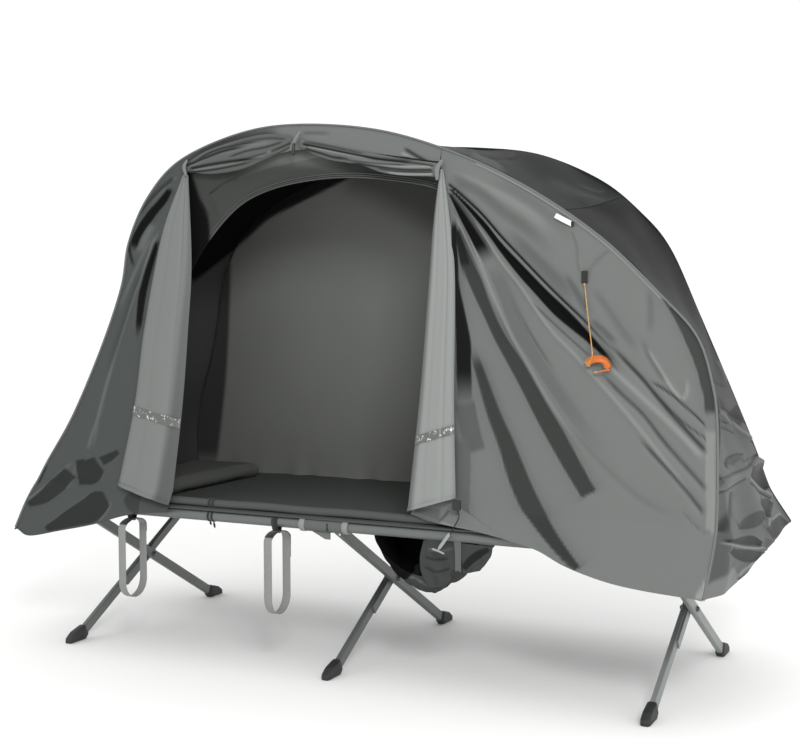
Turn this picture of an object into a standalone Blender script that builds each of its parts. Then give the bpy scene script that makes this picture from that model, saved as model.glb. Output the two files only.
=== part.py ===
"""Tent cot: a one-person tent standing on a folding camp cot.

Run with:  blender --background --python part.py
Metres, +Z up, the origin on the ground under the middle of the cot.
+X runs along the cot from the pillow to the foot end, and -Y is the side
with the open door.

The cot is a steel frame: two long rails, three crossed pairs of legs and a
fabric deck. Legs A run from the near feet up to the far rail, legs B from the
far feet up to the near rail. They turn on rivets where they cross, so the cot
folds sideways like scissors. The tent stands on the deck: two arched poles, an
inner tent with a door, and an outer fly with a flared skirt.
"""
import math

import bmesh
import bpy
from mathutils import Matrix, Vector

# Cot frame
RAIL_Z = 0.404
RAIL_Y = 0.352
RAIL_RADIUS = 0.014
RAIL_END_X = 0.955
SLEEVE_RADIUS = 0.0175
SLEEVE_X = (-0.085, 0.052)
FOOT_Y = 0.346
LEG_PAIR_X = {"left": -0.853, "mid": 0.0, "right": 0.853}
LEG_WIDTH = 0.016
LEG_DEPTH = 0.028
LEG_GAP = 0.005
LEG_BEVEL = 0.0025
CAP_LENGTH = 0.048
CAP_WALL = 0.004
HUB_BEFORE = 0.135
HUB_BEYOND = 0.030
HUB_MARGIN = 0.001
RAIL_PLATE = [(-0.056, -0.018), (-0.004, -0.018), (-0.004, -0.036), (-0.018, -0.036)]
RAIL_PLATE_THICKNESS = 0.004
GAP = 0.0003
RUNNING_GAP = 0.0005
ROUND_STEPS = 24
SHARP_ANGLE = 35.0

# Deck
DECK_HALF_X = 0.950
DECK_HALF_Y = 0.366
DECK_THICKNESS = 0.006
DECK_BOTTOM = RAIL_Z + SLEEVE_RADIUS + RUNNING_GAP
DECK_TOP = DECK_BOTTOM + DECK_THICKNESS
FOOT_GAP = 0.0009
INNER_FOOT = DECK_TOP + FOOT_GAP
DECK_BEVEL = 0.002
PILLOW = ((-0.860, -0.575), (-0.265, 0.265), 0.046)
PILLOW_BEVEL = 0.014

# Tent sides: both long sides lean in, and flare out below the deck
SIDE_Y = 0.365
SIDE_Y_HEIGHT = 0.400
LEAN = 0.17
SKIRT_TOP = 0.470
SKIRT_FLARE = 0.51
INNER_STEP = 0.030
CLOTH = 0.003
INNER_CORNER = 0.015
ROOF_CROWN = -0.010
INNER_CROWN = 0.000
SEAM_GAP = 0.0009
SPLIT = 0.0002

# Even steps along the ridges, and the steps between which each cloth panel runs
FLY_STEPS = 72
FLY_SWEEP = {"fly_left_end": (0, 20), "fly_roof": (20, 50), "fly_right_end": (50, 72)}
FLY_FRONT = {"fly_front_left": (1, 25), "fly_front_top": (25, 42), "fly_front_right": (42, 71)}
INNER_STEPS = 56
INNER_SWEEP = {"inner_left_end": (0, 17), "inner_roof": (17, 40), "inner_right_end": (40, 56)}
INNER_FRONT = {"inner_front_left": (1, 19), "inner_front_top": (19, 38), "inner_front_right": (38, 55)}

# Outlines of the two ridges, (x, z) from the left hem over the top
NEAR_RIDGE = [
    (-1.012, 0.330), (-0.998, 0.425), (-0.962, 0.510), (-0.876, 0.660),
    (-0.795, 0.860), (-0.745, 1.030), (-0.733, 1.160), (-0.680, 1.288),
    (-0.577, 1.391), (-0.380, 1.458), (-0.187, 1.471), (0.061, 1.440),
    (0.293, 1.365), (0.496, 1.267), (0.689, 1.140), (0.844, 1.000),
    (0.934, 0.904), (0.975, 0.794), (0.991, 0.693), (1.000, 0.469),
    (0.990, 0.320),
]
FAR_RIDGE_HALF = [
    (0.000, 1.433), (0.188, 1.424), (0.369, 1.396), (0.540, 1.320),
    (0.649, 1.230), (0.729, 1.130), (0.805, 0.948), (0.907, 0.688),
    (0.950, 0.572), (0.984, 0.472), (1.034, 0.376),
]
# Inner tent ridges, standing on the deck
INNER_HALF = [
    (0.000, 1.385), (0.275, 1.365), (0.426, 1.320), (0.540, 1.262),
    (0.630, 1.190), (0.715, 1.065), (0.760, 0.906), (0.800, 0.790),
    (0.875, 0.600), (0.900, INNER_FOOT),
]
INNER_NEAR_RIGHT = [
    (0.242, 1.310), (0.415, 1.220), (0.580, 1.120), (0.687, 1.040),
    (0.800, 0.930), (0.880, 0.800), (0.905, 0.600), (0.900, INNER_FOOT),
]
DOOR = [
    (-0.565, INNER_FOOT), (-0.562, 0.900), (-0.523, 1.077), (-0.410, 1.230),
    (-0.285, 1.296), (-0.096, 1.321), (0.087, 1.308), (0.250, 1.270),
    (0.370, 1.180), (0.430, 1.050), (0.450, 0.900), (0.452, INNER_FOOT),
]
# Fly door: the two curtain apexes and the tied-up valance between them
APEX_LEFT = (-0.547, 1.345)
APEX_RIGHT = (0.251, 1.341)
VALANCE = [(-0.540, 1.352), (-0.380, 1.366), (-0.185, 1.400), (0.030, 1.380), (0.243, 1.347)]
VALANCE_RADIUS = 0.013
VALANCE_GAP = 0.0012
VALANCE_STEPS = 24
HEM_LEFT = [
    (-1.001, 0.332), (-0.950, 0.318), (-0.850, 0.338), (-0.740, 0.362),
    (-0.625, 0.395), (-0.500, 0.410),
]
HEM_RIGHT = [
    (0.375, 0.462), (0.430, 0.466), (0.500, 0.420), (0.579, 0.397),
    (0.654, 0.366), (0.751, 0.342), (0.845, 0.330), (0.982, 0.322),
]
HEM_BACK = [(-1.022, 0.380), (-0.700, 0.362), (0.000, 0.366), (0.700, 0.362), (1.022, 0.380)]
CURTAIN_SWING = 0.014
CURTAIN_THICKNESS = 0.008
CURTAIN_DROP = 0.035
CURTAIN_TOP_WIDTH = 0.030
CURTAIN_LEFT = ((-0.665, 0.475), (-0.485, 0.434))
CURTAIN_RIGHT = ((0.235, 0.463), (0.366, 0.504))

# Poles
POLE_RADIUS = 0.005
POLE_INSET = CLOTH + POLE_RADIUS + 0.0040
POLE_FOOT_X = 0.935
POLE_FREE_Z = 0.620
POLE_UPRIGHT = 0.030

# Hanging things
LOOP_X = (-0.643, -0.166)
LOOP_WIDTH = 0.025
LOOP_THICKNESS = 0.0022
LOOP_BOTTOM = 0.157
LOOP_HALF_Y = 0.048
LOOP_SHOULDER_Z = RAIL_Z - 0.110
HALF_TURN_STEPS = 8
POUCH_X = (0.125, 0.415)
POUCH_Y = (-0.352, -0.215)
POUCH_TOP = RAIL_Z - RAIL_RADIUS - 0.0006
POUCH_RIM_DROP = 0.095
POUCH_DEPTH = 0.150
POUCH_CLOTH = 0.0025
POUCH_END = 0.04
POUCH_ROUNDNESS = 0.8
POUCH_TUCK = 0.015

# Guylines
TAB_SIZE = (0.016, 0.003, 0.030)
CORD_RADIUS = 0.0014
CORD_OFF_CLOTH = CORD_RADIUS * 1.6
CORD_LEGS = 8
CORD_STEPS = 20
HANK_SIZE = (0.060, 0.016, 0.034)
HANK_BEVEL = 0.006
GUY_RIGHT = ((0.649, 1.045), (0.700, 0.842))
GUY_LEFT_Z = (1.120, 0.950)
GUY_LEFT_ACROSS = 0.10
BLOCK_GAP = 0.0006
HANK_LIFT = 0.0050
SKIN_STEP = 0.001

LEG_RUN_Y = RAIL_Y + FOOT_Y
CROSS_T = FOOT_Y / LEG_RUN_Y
CROSS_Z = RAIL_Z * CROSS_T

COLOURS = {
    "steel_grey": ((0.26, 0.28, 0.27), 0.42, 0.75),
    "cap_black": ((0.02, 0.02, 0.02), 0.60, 0.0),
    "sleeve_grey": ((0.12, 0.13, 0.13), 0.50, 0.0),
    "deck_cloth": ((0.045, 0.05, 0.047), 0.85, 0.0),
    "pillow_cloth": ((0.08, 0.085, 0.08), 0.85, 0.0),
    "fly_cloth": ((0.20, 0.21, 0.20), 0.62, 0.0),
    "fly_lining": ((0.30, 0.31, 0.30), 0.62, 0.0),
    "inner_cloth": ((0.10, 0.11, 0.10), 0.80, 0.0),
    "pole_fibre": ((0.03, 0.03, 0.03), 0.40, 0.0),
    "webbing": ((0.38, 0.39, 0.38), 0.80, 0.0),
    "tab_black": ((0.02, 0.02, 0.02), 0.70, 0.0),
    "guy_cord": ((0.67, 0.37, 0.11), 0.70, 0.0),
    "guy_orange": ((0.87, 0.22, 0.04), 0.60, 0.0),
}
MATERIALS = {}


def clear_scene():
    """Remove whatever the file starts with."""
    for existing in list(bpy.data.objects):
        bpy.data.objects.remove(existing, do_unlink=True)


def material(name):
    """One Principled material for each finish, made once."""
    if name not in MATERIALS:
        colour, roughness, metallic = COLOURS[name]
        made = bpy.data.materials.new(name)
        made.use_nodes = True
        shader = made.node_tree.nodes["Principled BSDF"]
        shader.inputs["Base Color"].default_value = (*colour, 1.0)
        shader.inputs["Roughness"].default_value = roughness
        shader.inputs["Metallic"].default_value = metallic
        MATERIALS[name] = made
    return MATERIALS[name]


def finish(piece, name, finish_name, parts, smooth=True):
    """Name a piece, give it its material and put it in the cot's collection."""
    piece.name = name
    piece.data.name = name
    piece.data.materials.clear()
    piece.data.materials.append(material(finish_name))
    if smooth and piece.type == "MESH":
        piece.data.shade_smooth()
        piece.data.set_sharp_from_angle(angle=math.radians(SHARP_ANGLE))
    for holder in list(piece.users_collection):
        holder.objects.unlink(piece)
    parts.objects.link(piece)
    return piece


def hinge_empty(name, y, z, parts):
    """A marker on a hinge axis, which moving pieces hang from."""
    marker = bpy.data.objects.new(name, None)
    marker.location = (0.0, y, z)
    marker.empty_display_size = 0.05
    parts.objects.link(marker)
    return marker


def hang(piece, marker):
    """Parent a piece to its hinge marker without moving it."""
    piece.parent = marker
    piece.matrix_parent_inverse = Matrix.Translation(marker.location).inverted()


def box(name, low, high, finish_name, parts, bevel=0.0):
    """A box between two corners, with rounded edges if asked."""
    centre = (Vector(low) + Vector(high)) / 2.0
    size = Vector(high) - Vector(low)
    bpy.ops.mesh.primitive_cube_add(size=1.0, location=centre)
    piece = bpy.context.object
    piece.scale = size
    bpy.ops.object.transform_apply(location=False, rotation=False, scale=True)
    if bevel:
        round_edges(piece, bevel)
    return finish(piece, name, finish_name, parts, smooth=False)


def round_edges(piece, width):
    """Break a piece's edges with one flat."""
    edge = piece.modifiers.new("edge", "BEVEL")
    edge.width = width
    edge.segments = 1
    edge.limit_method = "ANGLE"


def bar(name, start, end, finish_name, parts):
    """A flat tube of the leg's section from one point to another, in a Y-Z plane."""
    start, end = Vector(start), Vector(end)
    run = end - start
    bpy.ops.mesh.primitive_cube_add(size=1.0, location=(start + end) / 2.0)
    piece = bpy.context.object
    piece.scale = (LEG_WIDTH, run.length, LEG_DEPTH)
    piece.rotation_euler = (math.atan2(run.z, run.y), 0.0, 0.0)
    bpy.ops.object.transform_apply(location=False, rotation=False, scale=True)
    round_edges(piece, LEG_BEVEL)
    return finish(piece, name, finish_name, parts, smooth=False)


def rod(name, x_low, x_high, y, z, radius, finish_name, parts):
    """A round tube along X."""
    bpy.ops.mesh.primitive_cylinder_add(
        vertices=ROUND_STEPS, radius=radius, depth=x_high - x_low,
        location=((x_low + x_high) / 2.0, y, z), rotation=(0.0, math.radians(90.0), 0.0))
    return finish(bpy.context.object, name, finish_name, parts)


def collar(name, x_low, x_high, y, z, inner, outer, finish_name, parts):
    """A sleeve along X, turned from its rectangular section."""
    mesh = bpy.data.meshes.new(name)
    half = (x_high - x_low) / 2.0
    corners = [(half, 0.0, inner), (half, 0.0, outer), (-half, 0.0, outer), (-half, 0.0, inner)]
    mesh.from_pydata(corners, [(0, 1), (1, 2), (2, 3), (3, 0)], [])
    piece = bpy.data.objects.new(name, mesh)
    piece.location = ((x_low + x_high) / 2.0, y, z)
    parts.objects.link(piece)
    turn = piece.modifiers.new("turn", "SCREW")
    turn.axis = "X"
    turn.steps = ROUND_STEPS
    turn.render_steps = ROUND_STEPS
    turn.use_merge_vertices = True
    turn.merge_threshold = 0.0001
    turn.use_normal_calculate = True
    turn.use_normal_flip = True
    return finish(piece, name, finish_name, parts)


def outline_plate(name, outlines, middle, thickness, finish_name, parts, across="X"):
    """A flat plate from closed outlines: (y, z) for across X, or (x, z) for across Y."""
    curve = bpy.data.curves.new(name, "CURVE")
    curve.dimensions = "2D"
    curve.fill_mode = "BOTH"
    curve.extrude = thickness / 2.0
    for outline in outlines:
        spline = curve.splines.new("POLY")
        spline.points.add(len(outline) - 1)
        for point, (u, v) in zip(spline.points, outline):
            point.co = (u, v, 0.0, 1.0)
        spline.use_cyclic_u = True
    piece = bpy.data.objects.new(name, curve)
    quarter = math.radians(90.0)
    if across == "X":
        piece.rotation_euler = (quarter, 0.0, quarter)
        piece.location = (middle, 0.0, 0.0)
    else:
        piece.rotation_euler = (quarter, 0.0, 0.0)
        piece.location = (0.0, middle, 0.0)
    parts.objects.link(piece)
    return finish(piece, name, finish_name, parts)


def tube(name, points, radius, finish_name, parts, bevel_resolution=2):
    """A round rod or cord along points."""
    curve = bpy.data.curves.new(name, "CURVE")
    curve.dimensions = "3D"
    curve.bevel_depth = radius
    curve.bevel_resolution = bevel_resolution
    curve.use_fill_caps = True
    spline = curve.splines.new("POLY")
    spline.points.add(len(points) - 1)
    for point, place in zip(spline.points, points):
        point.co = (*place, 1.0)
    piece = bpy.data.objects.new(name, curve)
    parts.objects.link(piece)
    return finish(piece, name, finish_name, parts)


def path(points, steps=12):
    """A function giving the point at a share, 0 to 1, of a smooth curve's length.

    The curve passes through every given point (a Catmull-Rom spline).
    """
    nodes = [Vector(point) for point in points]
    ends = [2.0 * nodes[0] - nodes[1]] + nodes + [2.0 * nodes[-1] - nodes[-2]]
    dense = []
    for index in range(1, len(ends) - 2):
        p0, p1, p2, p3 = ends[index - 1:index + 3]
        for step in range(steps):
            t = step / steps
            dense.append(0.5 * (
                2.0 * p1 + (p2 - p0) * t + (2.0 * p0 - 5.0 * p1 + 4.0 * p2 - p3) * t ** 2
                + (3.0 * p1 - p0 - 3.0 * p2 + p3) * t ** 3))
    dense.append(nodes[-1])
    travelled = [0.0]
    for before, after in zip(dense, dense[1:]):
        travelled.append(travelled[-1] + (after - before).length)

    def at(share):
        """The point at this share of the whole length."""
        target = min(max(share, 0.0), 1.0) * travelled[-1]
        for index in range(1, len(dense)):
            if travelled[index] >= target - 1e-12:
                span = travelled[index] - travelled[index - 1]
                t = (target - travelled[index - 1]) / span
                return dense[index - 1].lerp(dense[index], t)
        return dense[-1]

    return at


def outward_at(at, share):
    """The unit normal of a ridge outline in its X-Z plane, away from the tent."""
    ahead = at(min(share + 0.004, 1.0)) - at(max(share - 0.004, 0.0))
    return Vector((-ahead.y, ahead.x)).normalized()


def side_y(z):
    """How far out the fly's long sides are at a height."""
    if z >= SKIRT_TOP:
        return SIDE_Y - LEAN * (z - SIDE_Y_HEIGHT)
    return SIDE_Y - LEAN * (SKIRT_TOP - SIDE_Y_HEIGHT) + SKIRT_FLARE * (SKIRT_TOP - z)


def inner_y(z):
    """How far out the inner tent's long sides are at a height."""
    return SIDE_Y - INNER_STEP - LEAN * (z - SIDE_Y_HEIGHT)


def sheet(name, columns, rows, place, finish_name, parts, thickness=CLOTH):
    """A cloth panel: a grid bent by place(s, t), thickened on its back."""
    mesh = bpy.data.meshes.new(name)
    grid = bmesh.new()
    bmesh.ops.create_grid(grid, x_segments=columns, y_segments=rows, size=0.5)
    for vert in grid.verts:
        vert.co = place(vert.co.x + 0.5, vert.co.y + 0.5)
    grid.to_mesh(mesh)
    grid.free()
    piece = bpy.data.objects.new(name, mesh)
    parts.objects.link(piece)
    wall = piece.modifiers.new("cloth", "SOLIDIFY")
    wall.thickness = thickness
    wall.offset = -1.0
    wall.use_even_offset = True
    return finish(piece, name, finish_name, parts)


NEAR = path([(x, z) for x, z in NEAR_RIDGE])
FAR = path([(-x, z) for x, z in reversed(FAR_RIDGE_HALF)] + FAR_RIDGE_HALF[1:])
INNER_FAR = path([(-x, z) for x, z in reversed(INNER_HALF)] + INNER_HALF[1:])
INNER_NEAR = path([(-x, z) for x, z in reversed(INNER_HALF)] + INNER_NEAR_RIGHT)
DOOR_EDGE = path(DOOR)


def ridge_point(at, share, side, depth, inset=0.0):
    """A 3-D point on a ridge, on the near (-1) or far (+1) side."""
    flat = at(share) - outward_at(at, share) * inset
    return Vector((flat.x, side * depth(flat.y), flat.y))


def band_place(near_at, far_at, depth, low, high, crown, inset=0.0):
    """Where the cloth between the two ridges lies, for the shares low to high."""
    def place(s, t):
        share = low + (high - low) * s
        near = ridge_point(near_at, share, -1.0, depth, inset)
        far = ridge_point(far_at, share, 1.0, depth, inset)
        out = outward_at(near_at, share).lerp(outward_at(far_at, share), t)
        rise = crown * math.sin(math.pi * t)
        return near.lerp(far, t) + Vector((out.x, 0.0, out.y)) * rise
    return place


def ruled_place(top, bottom, depth, side):
    """Cloth stretched between a bottom line and a top line, both functions of s."""
    def place(s, t):
        flat = bottom(s).lerp(top(s), t)
        return Vector((flat.x, side * depth(flat.y), flat.y))
    return place


def build_rails(parts, near_marker):
    """Both rails in halves, with the sleeve and rivet plate at their mid hinge."""
    for side, y in (("far", RAIL_Y), ("near", -RAIL_Y)):
        pieces = [
            rod(f"{side}_rail_left", -RAIL_END_X, -GAP, y, RAIL_Z, RAIL_RADIUS, "steel_grey", parts),
            rod(f"{side}_rail_right", GAP, RAIL_END_X, y, RAIL_Z, RAIL_RADIUS, "steel_grey", parts),
        ]
        flip = 1.0 if side == "near" else -1.0
        ends = sorted((flip * SLEEVE_X[0], flip * SLEEVE_X[1]))
        pieces.append(collar(
            f"{side}_rail_sleeve", ends[0], ends[1], y, RAIL_Z,
            RAIL_RADIUS + GAP, SLEEVE_RADIUS, "sleeve_grey", parts))
        outline = [(flip * u, RAIL_Z + v) for u, v in RAIL_PLATE]
        pieces.append(outline_plate(
            f"{side}_rail_plate", [outline], y, RAIL_PLATE_THICKNESS, "steel_grey", parts, across="Y"))
        if side == "near":
            for piece in pieces:
                hang(piece, near_marker)


def leg_ends(side, rail_gap):
    """The two ends of a leg's tube: above its foot cap, and just under its rail."""
    foot = Vector((0.0, side * FOOT_Y, 0.0))
    rail = Vector((0.0, -side * RAIL_Y, RAIL_Z))
    along = (rail - foot).normalized()
    return foot + along * (CAP_LENGTH + GAP), rail - along * rail_gap, along


def build_legs(parts, a_marker, b_marker):
    """Three pairs of crossed legs with their feet and the plates at the crossings."""
    for pair, x in LEG_PAIR_X.items():
        rail_gap = (SLEEVE_RADIUS if pair == "mid" else RAIL_RADIUS) + RUNNING_GAP
        for letter, side, marker in (("a", -1.0, a_marker), ("b", 1.0, b_marker)):
            low, high, along = leg_ends(side, rail_gap)
            x_leg = x + side * (LEG_WIDTH + LEG_GAP) / 2.0
            shift = Vector((x_leg, 0.0, 0.0))
            leg = bar(f"leg_{letter}_{pair}", low + shift, high + shift, "steel_grey", parts)
            hang(leg, marker)
            across = Vector((0.0, -along.z, along.y)) * (LEG_DEPTH / 2.0 + CAP_WALL)
            foot = Vector((0.0, side * FOOT_Y, 0.0))
            top = foot + along * CAP_LENGTH
            outline = []
            for corner in (top - across, top + across):
                outline.append((corner.y, corner.z))
            for shifted in (across, -across):
                reach = shifted.z / along.z
                outline.append((foot.y + shifted.y - along.y * reach, 0.0))
            cap = outline_plate(
                f"foot_{letter}_{pair}", [outline], x_leg, LEG_WIDTH + 2.0 * CAP_WALL,
                "cap_black", parts)
            hang(cap, marker)
            if letter == "a":
                middle = foot.lerp(Vector((0.0, -side * RAIL_Y, RAIL_Z)), CROSS_T)
                start, end = middle - along * HUB_BEFORE, middle + along * HUB_BEYOND
                width = Vector((0.0, -along.z, along.y)) * (LEG_DEPTH / 2.0 - HUB_MARGIN)
                corners = (start - width, end - width, end + width, start + width)
                hub = outline_plate(
                    f"hub_plate_{pair}", [[(c.y, c.z) for c in corners]], x,
                    LEG_GAP - 2.0 * GAP, "steel_grey", parts)
                hang(hub, marker)


def build_deck(parts):
    """The cloth deck over the rails, and the pillow on it."""
    box("deck", (-DECK_HALF_X, -DECK_HALF_Y, DECK_BOTTOM), (DECK_HALF_X, DECK_HALF_Y, DECK_TOP),
        "deck_cloth", parts, DECK_BEVEL)
    (x_low, x_high), (y_low, y_high), height = PILLOW
    box("pillow", (x_low, y_low, DECK_TOP + GAP), (x_high, y_high, DECK_TOP + GAP + height),
        "pillow_cloth", parts, PILLOW_BEVEL)


def build_poles(parts):
    """The two arched poles under the fly's ridges, standing on the deck's corners."""
    for name, at, side in (("pole_near", NEAR, -1.0), ("pole_far", FAR, 1.0)):
        foot_z = DECK_TOP + FOOT_GAP
        route = [(-POLE_FOOT_X, foot_z), (-POLE_FOOT_X, foot_z + POLE_UPRIGHT)]
        for step in range(1, FLY_STEPS):
            flat = at(step / FLY_STEPS) - outward_at(at, step / FLY_STEPS) * POLE_INSET
            if flat.y > POLE_FREE_Z:
                route.append((flat.x, flat.y))
        route += [(POLE_FOOT_X, foot_z + POLE_UPRIGHT), (POLE_FOOT_X, foot_z)]
        points = []
        for x, z in route:
            points.append((x, side * (side_y(max(z, SKIRT_TOP)) - POLE_INSET), z))
        tube(name, points, POLE_RADIUS, "pole_fibre", parts)


def ridge_line(at, steps, first, last, inset=0.0, closing=0.0):
    """A function of s along a ridge from one of its even steps to a later one.

    The inset moves the line into the tent, and closing trims both of its ends.
    """
    low, high = first / steps + closing, last / steps - closing

    def line(s):
        share = low + (high - low) * s
        return at(share) - outward_at(at, share) * inset

    return line


def build_inner_tent(parts):
    """The inner tent: roof and ends in one sweep, the back wall and the door wall."""
    for name, (first, last) in INNER_SWEEP.items():
        place = band_place(INNER_NEAR, INNER_FAR, inner_y, first / INNER_STEPS + SPLIT,
                           last / INNER_STEPS - SPLIT, INNER_CROWN)
        sheet(name, last - first, 4, place, "inner_cloth", parts)
    under = CLOTH + SEAM_GAP
    top = ridge_line(INNER_FAR, INNER_STEPS, 1, INNER_STEPS - 1, under)
    half_foot = INNER_HALF[-1][0] - INNER_CORNER

    def back_top(s):
        return top(1.0 - s)

    def back_bottom(s):
        return Vector((half_foot * (1.0 - 2.0 * s), INNER_FOOT))

    sheet("inner_back", INNER_STEPS - 2, 3, ruled_place(back_top, back_bottom, inner_y, 1.0),
          "inner_cloth", parts)
    for name, (first, last) in INNER_FRONT.items():
        top = ridge_line(INNER_NEAR, INNER_STEPS, first, last, under, SPLIT)

        def bottom(s, first=first, last=last):
            step = first + (last - first) * s
            return DOOR_EDGE((step - 1.0) / (INNER_STEPS - 2.0))

        sheet(name, last - first, 2, ruled_place(top, bottom, inner_y, -1.0), "inner_cloth", parts)


def build_fly(parts):
    """The outer fly: roof and ends in one sweep, and the panels of the long sides."""
    for name, (first, last) in FLY_SWEEP.items():
        place = band_place(NEAR, FAR, side_y, first / FLY_STEPS + SPLIT,
                           last / FLY_STEPS - SPLIT, ROOF_CROWN)
        sheet(name, last - first, 6, place, "fly_cloth", parts)
    under = CLOTH + SEAM_GAP
    hems = {"fly_front_left": HEM_LEFT, "fly_front_top": VALANCE, "fly_front_right": HEM_RIGHT}
    for name, (first, last) in FLY_FRONT.items():
        top = ridge_line(NEAR, FLY_STEPS, first, last, under, SPLIT)
        rows = 1 if name == "fly_front_top" else 5
        sheet(name, last - first, rows, ruled_place(top, path(hems[name]), side_y, -1.0),
              "fly_cloth", parts)
    top = ridge_line(FAR, FLY_STEPS, 1, FLY_STEPS - 1, under)
    hem = path(HEM_BACK)

    def back_top(s):
        return top(1.0 - s)

    def back_hem(s):
        return hem(1.0 - s)

    sheet("fly_back", FLY_STEPS - 2, 5, ruled_place(back_top, back_hem, side_y, 1.0), "fly_cloth", parts)


def build_door(parts):
    """The tied-up valance over the fly's door and the two hanging curtains."""
    line = path(VALANCE)
    points = []
    for step in range(VALANCE_STEPS + 1):
        flat = line(step / VALANCE_STEPS)
        z = flat.y - VALANCE_RADIUS - VALANCE_GAP
        points.append((flat.x, CLOTH / 2.0 - side_y(flat.y), z))
    tube("valance_roll", points, VALANCE_RADIUS, "fly_cloth", parts)
    curtains = (("curtain_left", APEX_LEFT, CURTAIN_LEFT), ("curtain_right", APEX_RIGHT, CURTAIN_RIGHT))
    for name, apex, ends in curtains:
        low, high = (Vector(end) for end in ends)
        top = Vector(apex) - Vector((0.0, CURTAIN_DROP))

        def upper(s, top=top):
            return top + Vector(((s - 0.5) * CURTAIN_TOP_WIDTH, 0.0))

        def lower(s, low=low, high=high):
            return low.lerp(high, s)

        def depth(z, top=top, low=low):
            slack = (top.y - z) / (top.y - low.y)
            return side_y(z) + CURTAIN_THICKNESS + SEAM_GAP + CURTAIN_SWING * slack

        sheet(name, 6, 8, ruled_place(upper, lower, depth, -1.0), "fly_lining", parts,
              thickness=CURTAIN_THICKNESS)


def build_loops(parts, near_marker):
    """Two webbing loops round the near rail."""
    for name, x in zip(("strap_loop_left", "strap_loop_right"), LOOP_X):
        outlines = []
        for inside in (0.0, LOOP_THICKNESS):
            top_radius = RAIL_RADIUS + GAP * 2.0 + LOOP_THICKNESS - inside
            outline = []
            for step in range(HALF_TURN_STEPS + 1):
                angle = math.pi * step / HALF_TURN_STEPS
                outline.append((-RAIL_Y + top_radius * math.cos(angle), RAIL_Z + top_radius * math.sin(angle)))
            half = LOOP_HALF_Y - inside
            outline.append((-RAIL_Y - half, LOOP_SHOULDER_Z))
            for step in range(HALF_TURN_STEPS + 1):
                angle = math.pi * (1.0 + step / HALF_TURN_STEPS)
                outline.append((-RAIL_Y + half * math.cos(angle),
                                LOOP_BOTTOM + LOOP_HALF_Y + half * math.sin(angle)))
            outline.append((-RAIL_Y + half, LOOP_SHOULDER_Z))
            outlines.append(outline)
        hang(outline_plate(name, outlines, x, LOOP_WIDTH, "webbing", parts), near_marker)


def build_pouch(parts, near_marker):
    """The storage pouch hanging behind the near rail, its mouth sagging open."""
    def place(s, t):
        swell = math.sin(math.pi * (POUCH_END + (1.0 - 2.0 * POUCH_END) * s)) ** POUCH_ROUNDNESS
        turn = math.pi * t
        x = POUCH_X[0] + (POUCH_X[1] - POUCH_X[0]) * s
        x += POUCH_TUCK * (1.0 if s < 0.5 else -1.0) * math.sin(turn)
        y = POUCH_Y[0] + (POUCH_Y[1] - POUCH_Y[0]) * (1.0 - math.cos(turn)) / 2.0
        front = (1.0 - t) ** 2
        rim = POUCH_TOP - POUCH_RIM_DROP * math.sin(math.pi * s) ** POUCH_ROUNDNESS * front
        hang_down = (POUCH_DEPTH - POUCH_RIM_DROP * front) * swell * math.sin(turn) ** POUCH_ROUNDNESS
        return Vector((x, y, rim - hang_down))

    pouch = sheet("storage_pouch", 10, 10, place, "deck_cloth", parts, thickness=POUCH_CLOTH)
    hang(pouch, near_marker)


def right_skin(z):
    """The point of the near side's cloth where the right guyline lies, at a height."""
    (tab_x, tab_z), (hank_x, hank_z) = GUY_RIGHT
    x = tab_x + (hank_x - tab_x) * (tab_z - z) / (tab_z - hank_z)
    return Vector((x, -side_y(z), z))


def left_skin(z):
    """The point of the left end's cloth where the left guyline lies, at a height."""
    place = band_place(NEAR, FAR, side_y, 0.0, 1.0, ROOF_CROWN)
    share = 0.0
    while place(share, GUY_LEFT_ACROSS).z < z:
        share += SKIN_STEP
    return place(share, GUY_LEFT_ACROSS)


def block_on(name, skin, z, out, size, finish_name, parts, bevel=0.0, lift=BLOCK_GAP):
    """A small block lying on the cloth at a height; returns its middle."""
    width, depth, height = size
    face = skin(z - height / 2.0) + out * (lift + depth / 2.0)
    middle = Vector((face.x, face.y, z))
    side = Vector((abs(out.y), abs(out.x), 0.0))
    half = side * width / 2.0 + Vector((abs(out.x), abs(out.y), 0.0)) * depth / 2.0
    half.z = height / 2.0
    box(name, middle - half, middle + half, finish_name, parts, bevel)
    return middle


def build_guylines(parts):
    """A tab, a hanging cord and its wound hank at each near corner of the fly."""
    sides = {
        "right": (right_skin, Vector((0.0, -1.0, 0.0)), GUY_RIGHT[0][1], GUY_RIGHT[1][1]),
        "left": (left_skin, Vector((-1.0, 0.0, 0.0)), GUY_LEFT_Z[0], GUY_LEFT_Z[1]),
    }
    for side, (skin, out, tab_z, hank_z) in sides.items():
        tab = block_on(f"guy_tab_{side}", skin, tab_z, out, TAB_SIZE, "tab_black", parts)
        hank = block_on(f"guy_hank_{side}", skin, hank_z, out, HANK_SIZE, "guy_orange", parts,
                        HANK_BEVEL, HANK_LIFT)
        start = tab - Vector((0.0, 0.0, TAB_SIZE[2] / 2.0 + BLOCK_GAP))
        end = hank + Vector((0.0, 0.0, HANK_SIZE[2] / 2.0 + BLOCK_GAP))
        route = [start]
        for step in range(1, CORD_LEGS):
            point = start.lerp(end, step / CORD_LEGS)
            clear = skin(point.z) + out * (BLOCK_GAP + CORD_OFF_CLOTH)
            if (clear - point).dot(out) > 0.0:
                point += out * (clear - point).dot(out)
            route.append(point)
        line = path(route + [end])
        points = [line(step / CORD_STEPS) for step in range(CORD_STEPS + 1)]
        tube(f"guy_cord_{side}", points, CORD_RADIUS, "guy_cord", parts)


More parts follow.
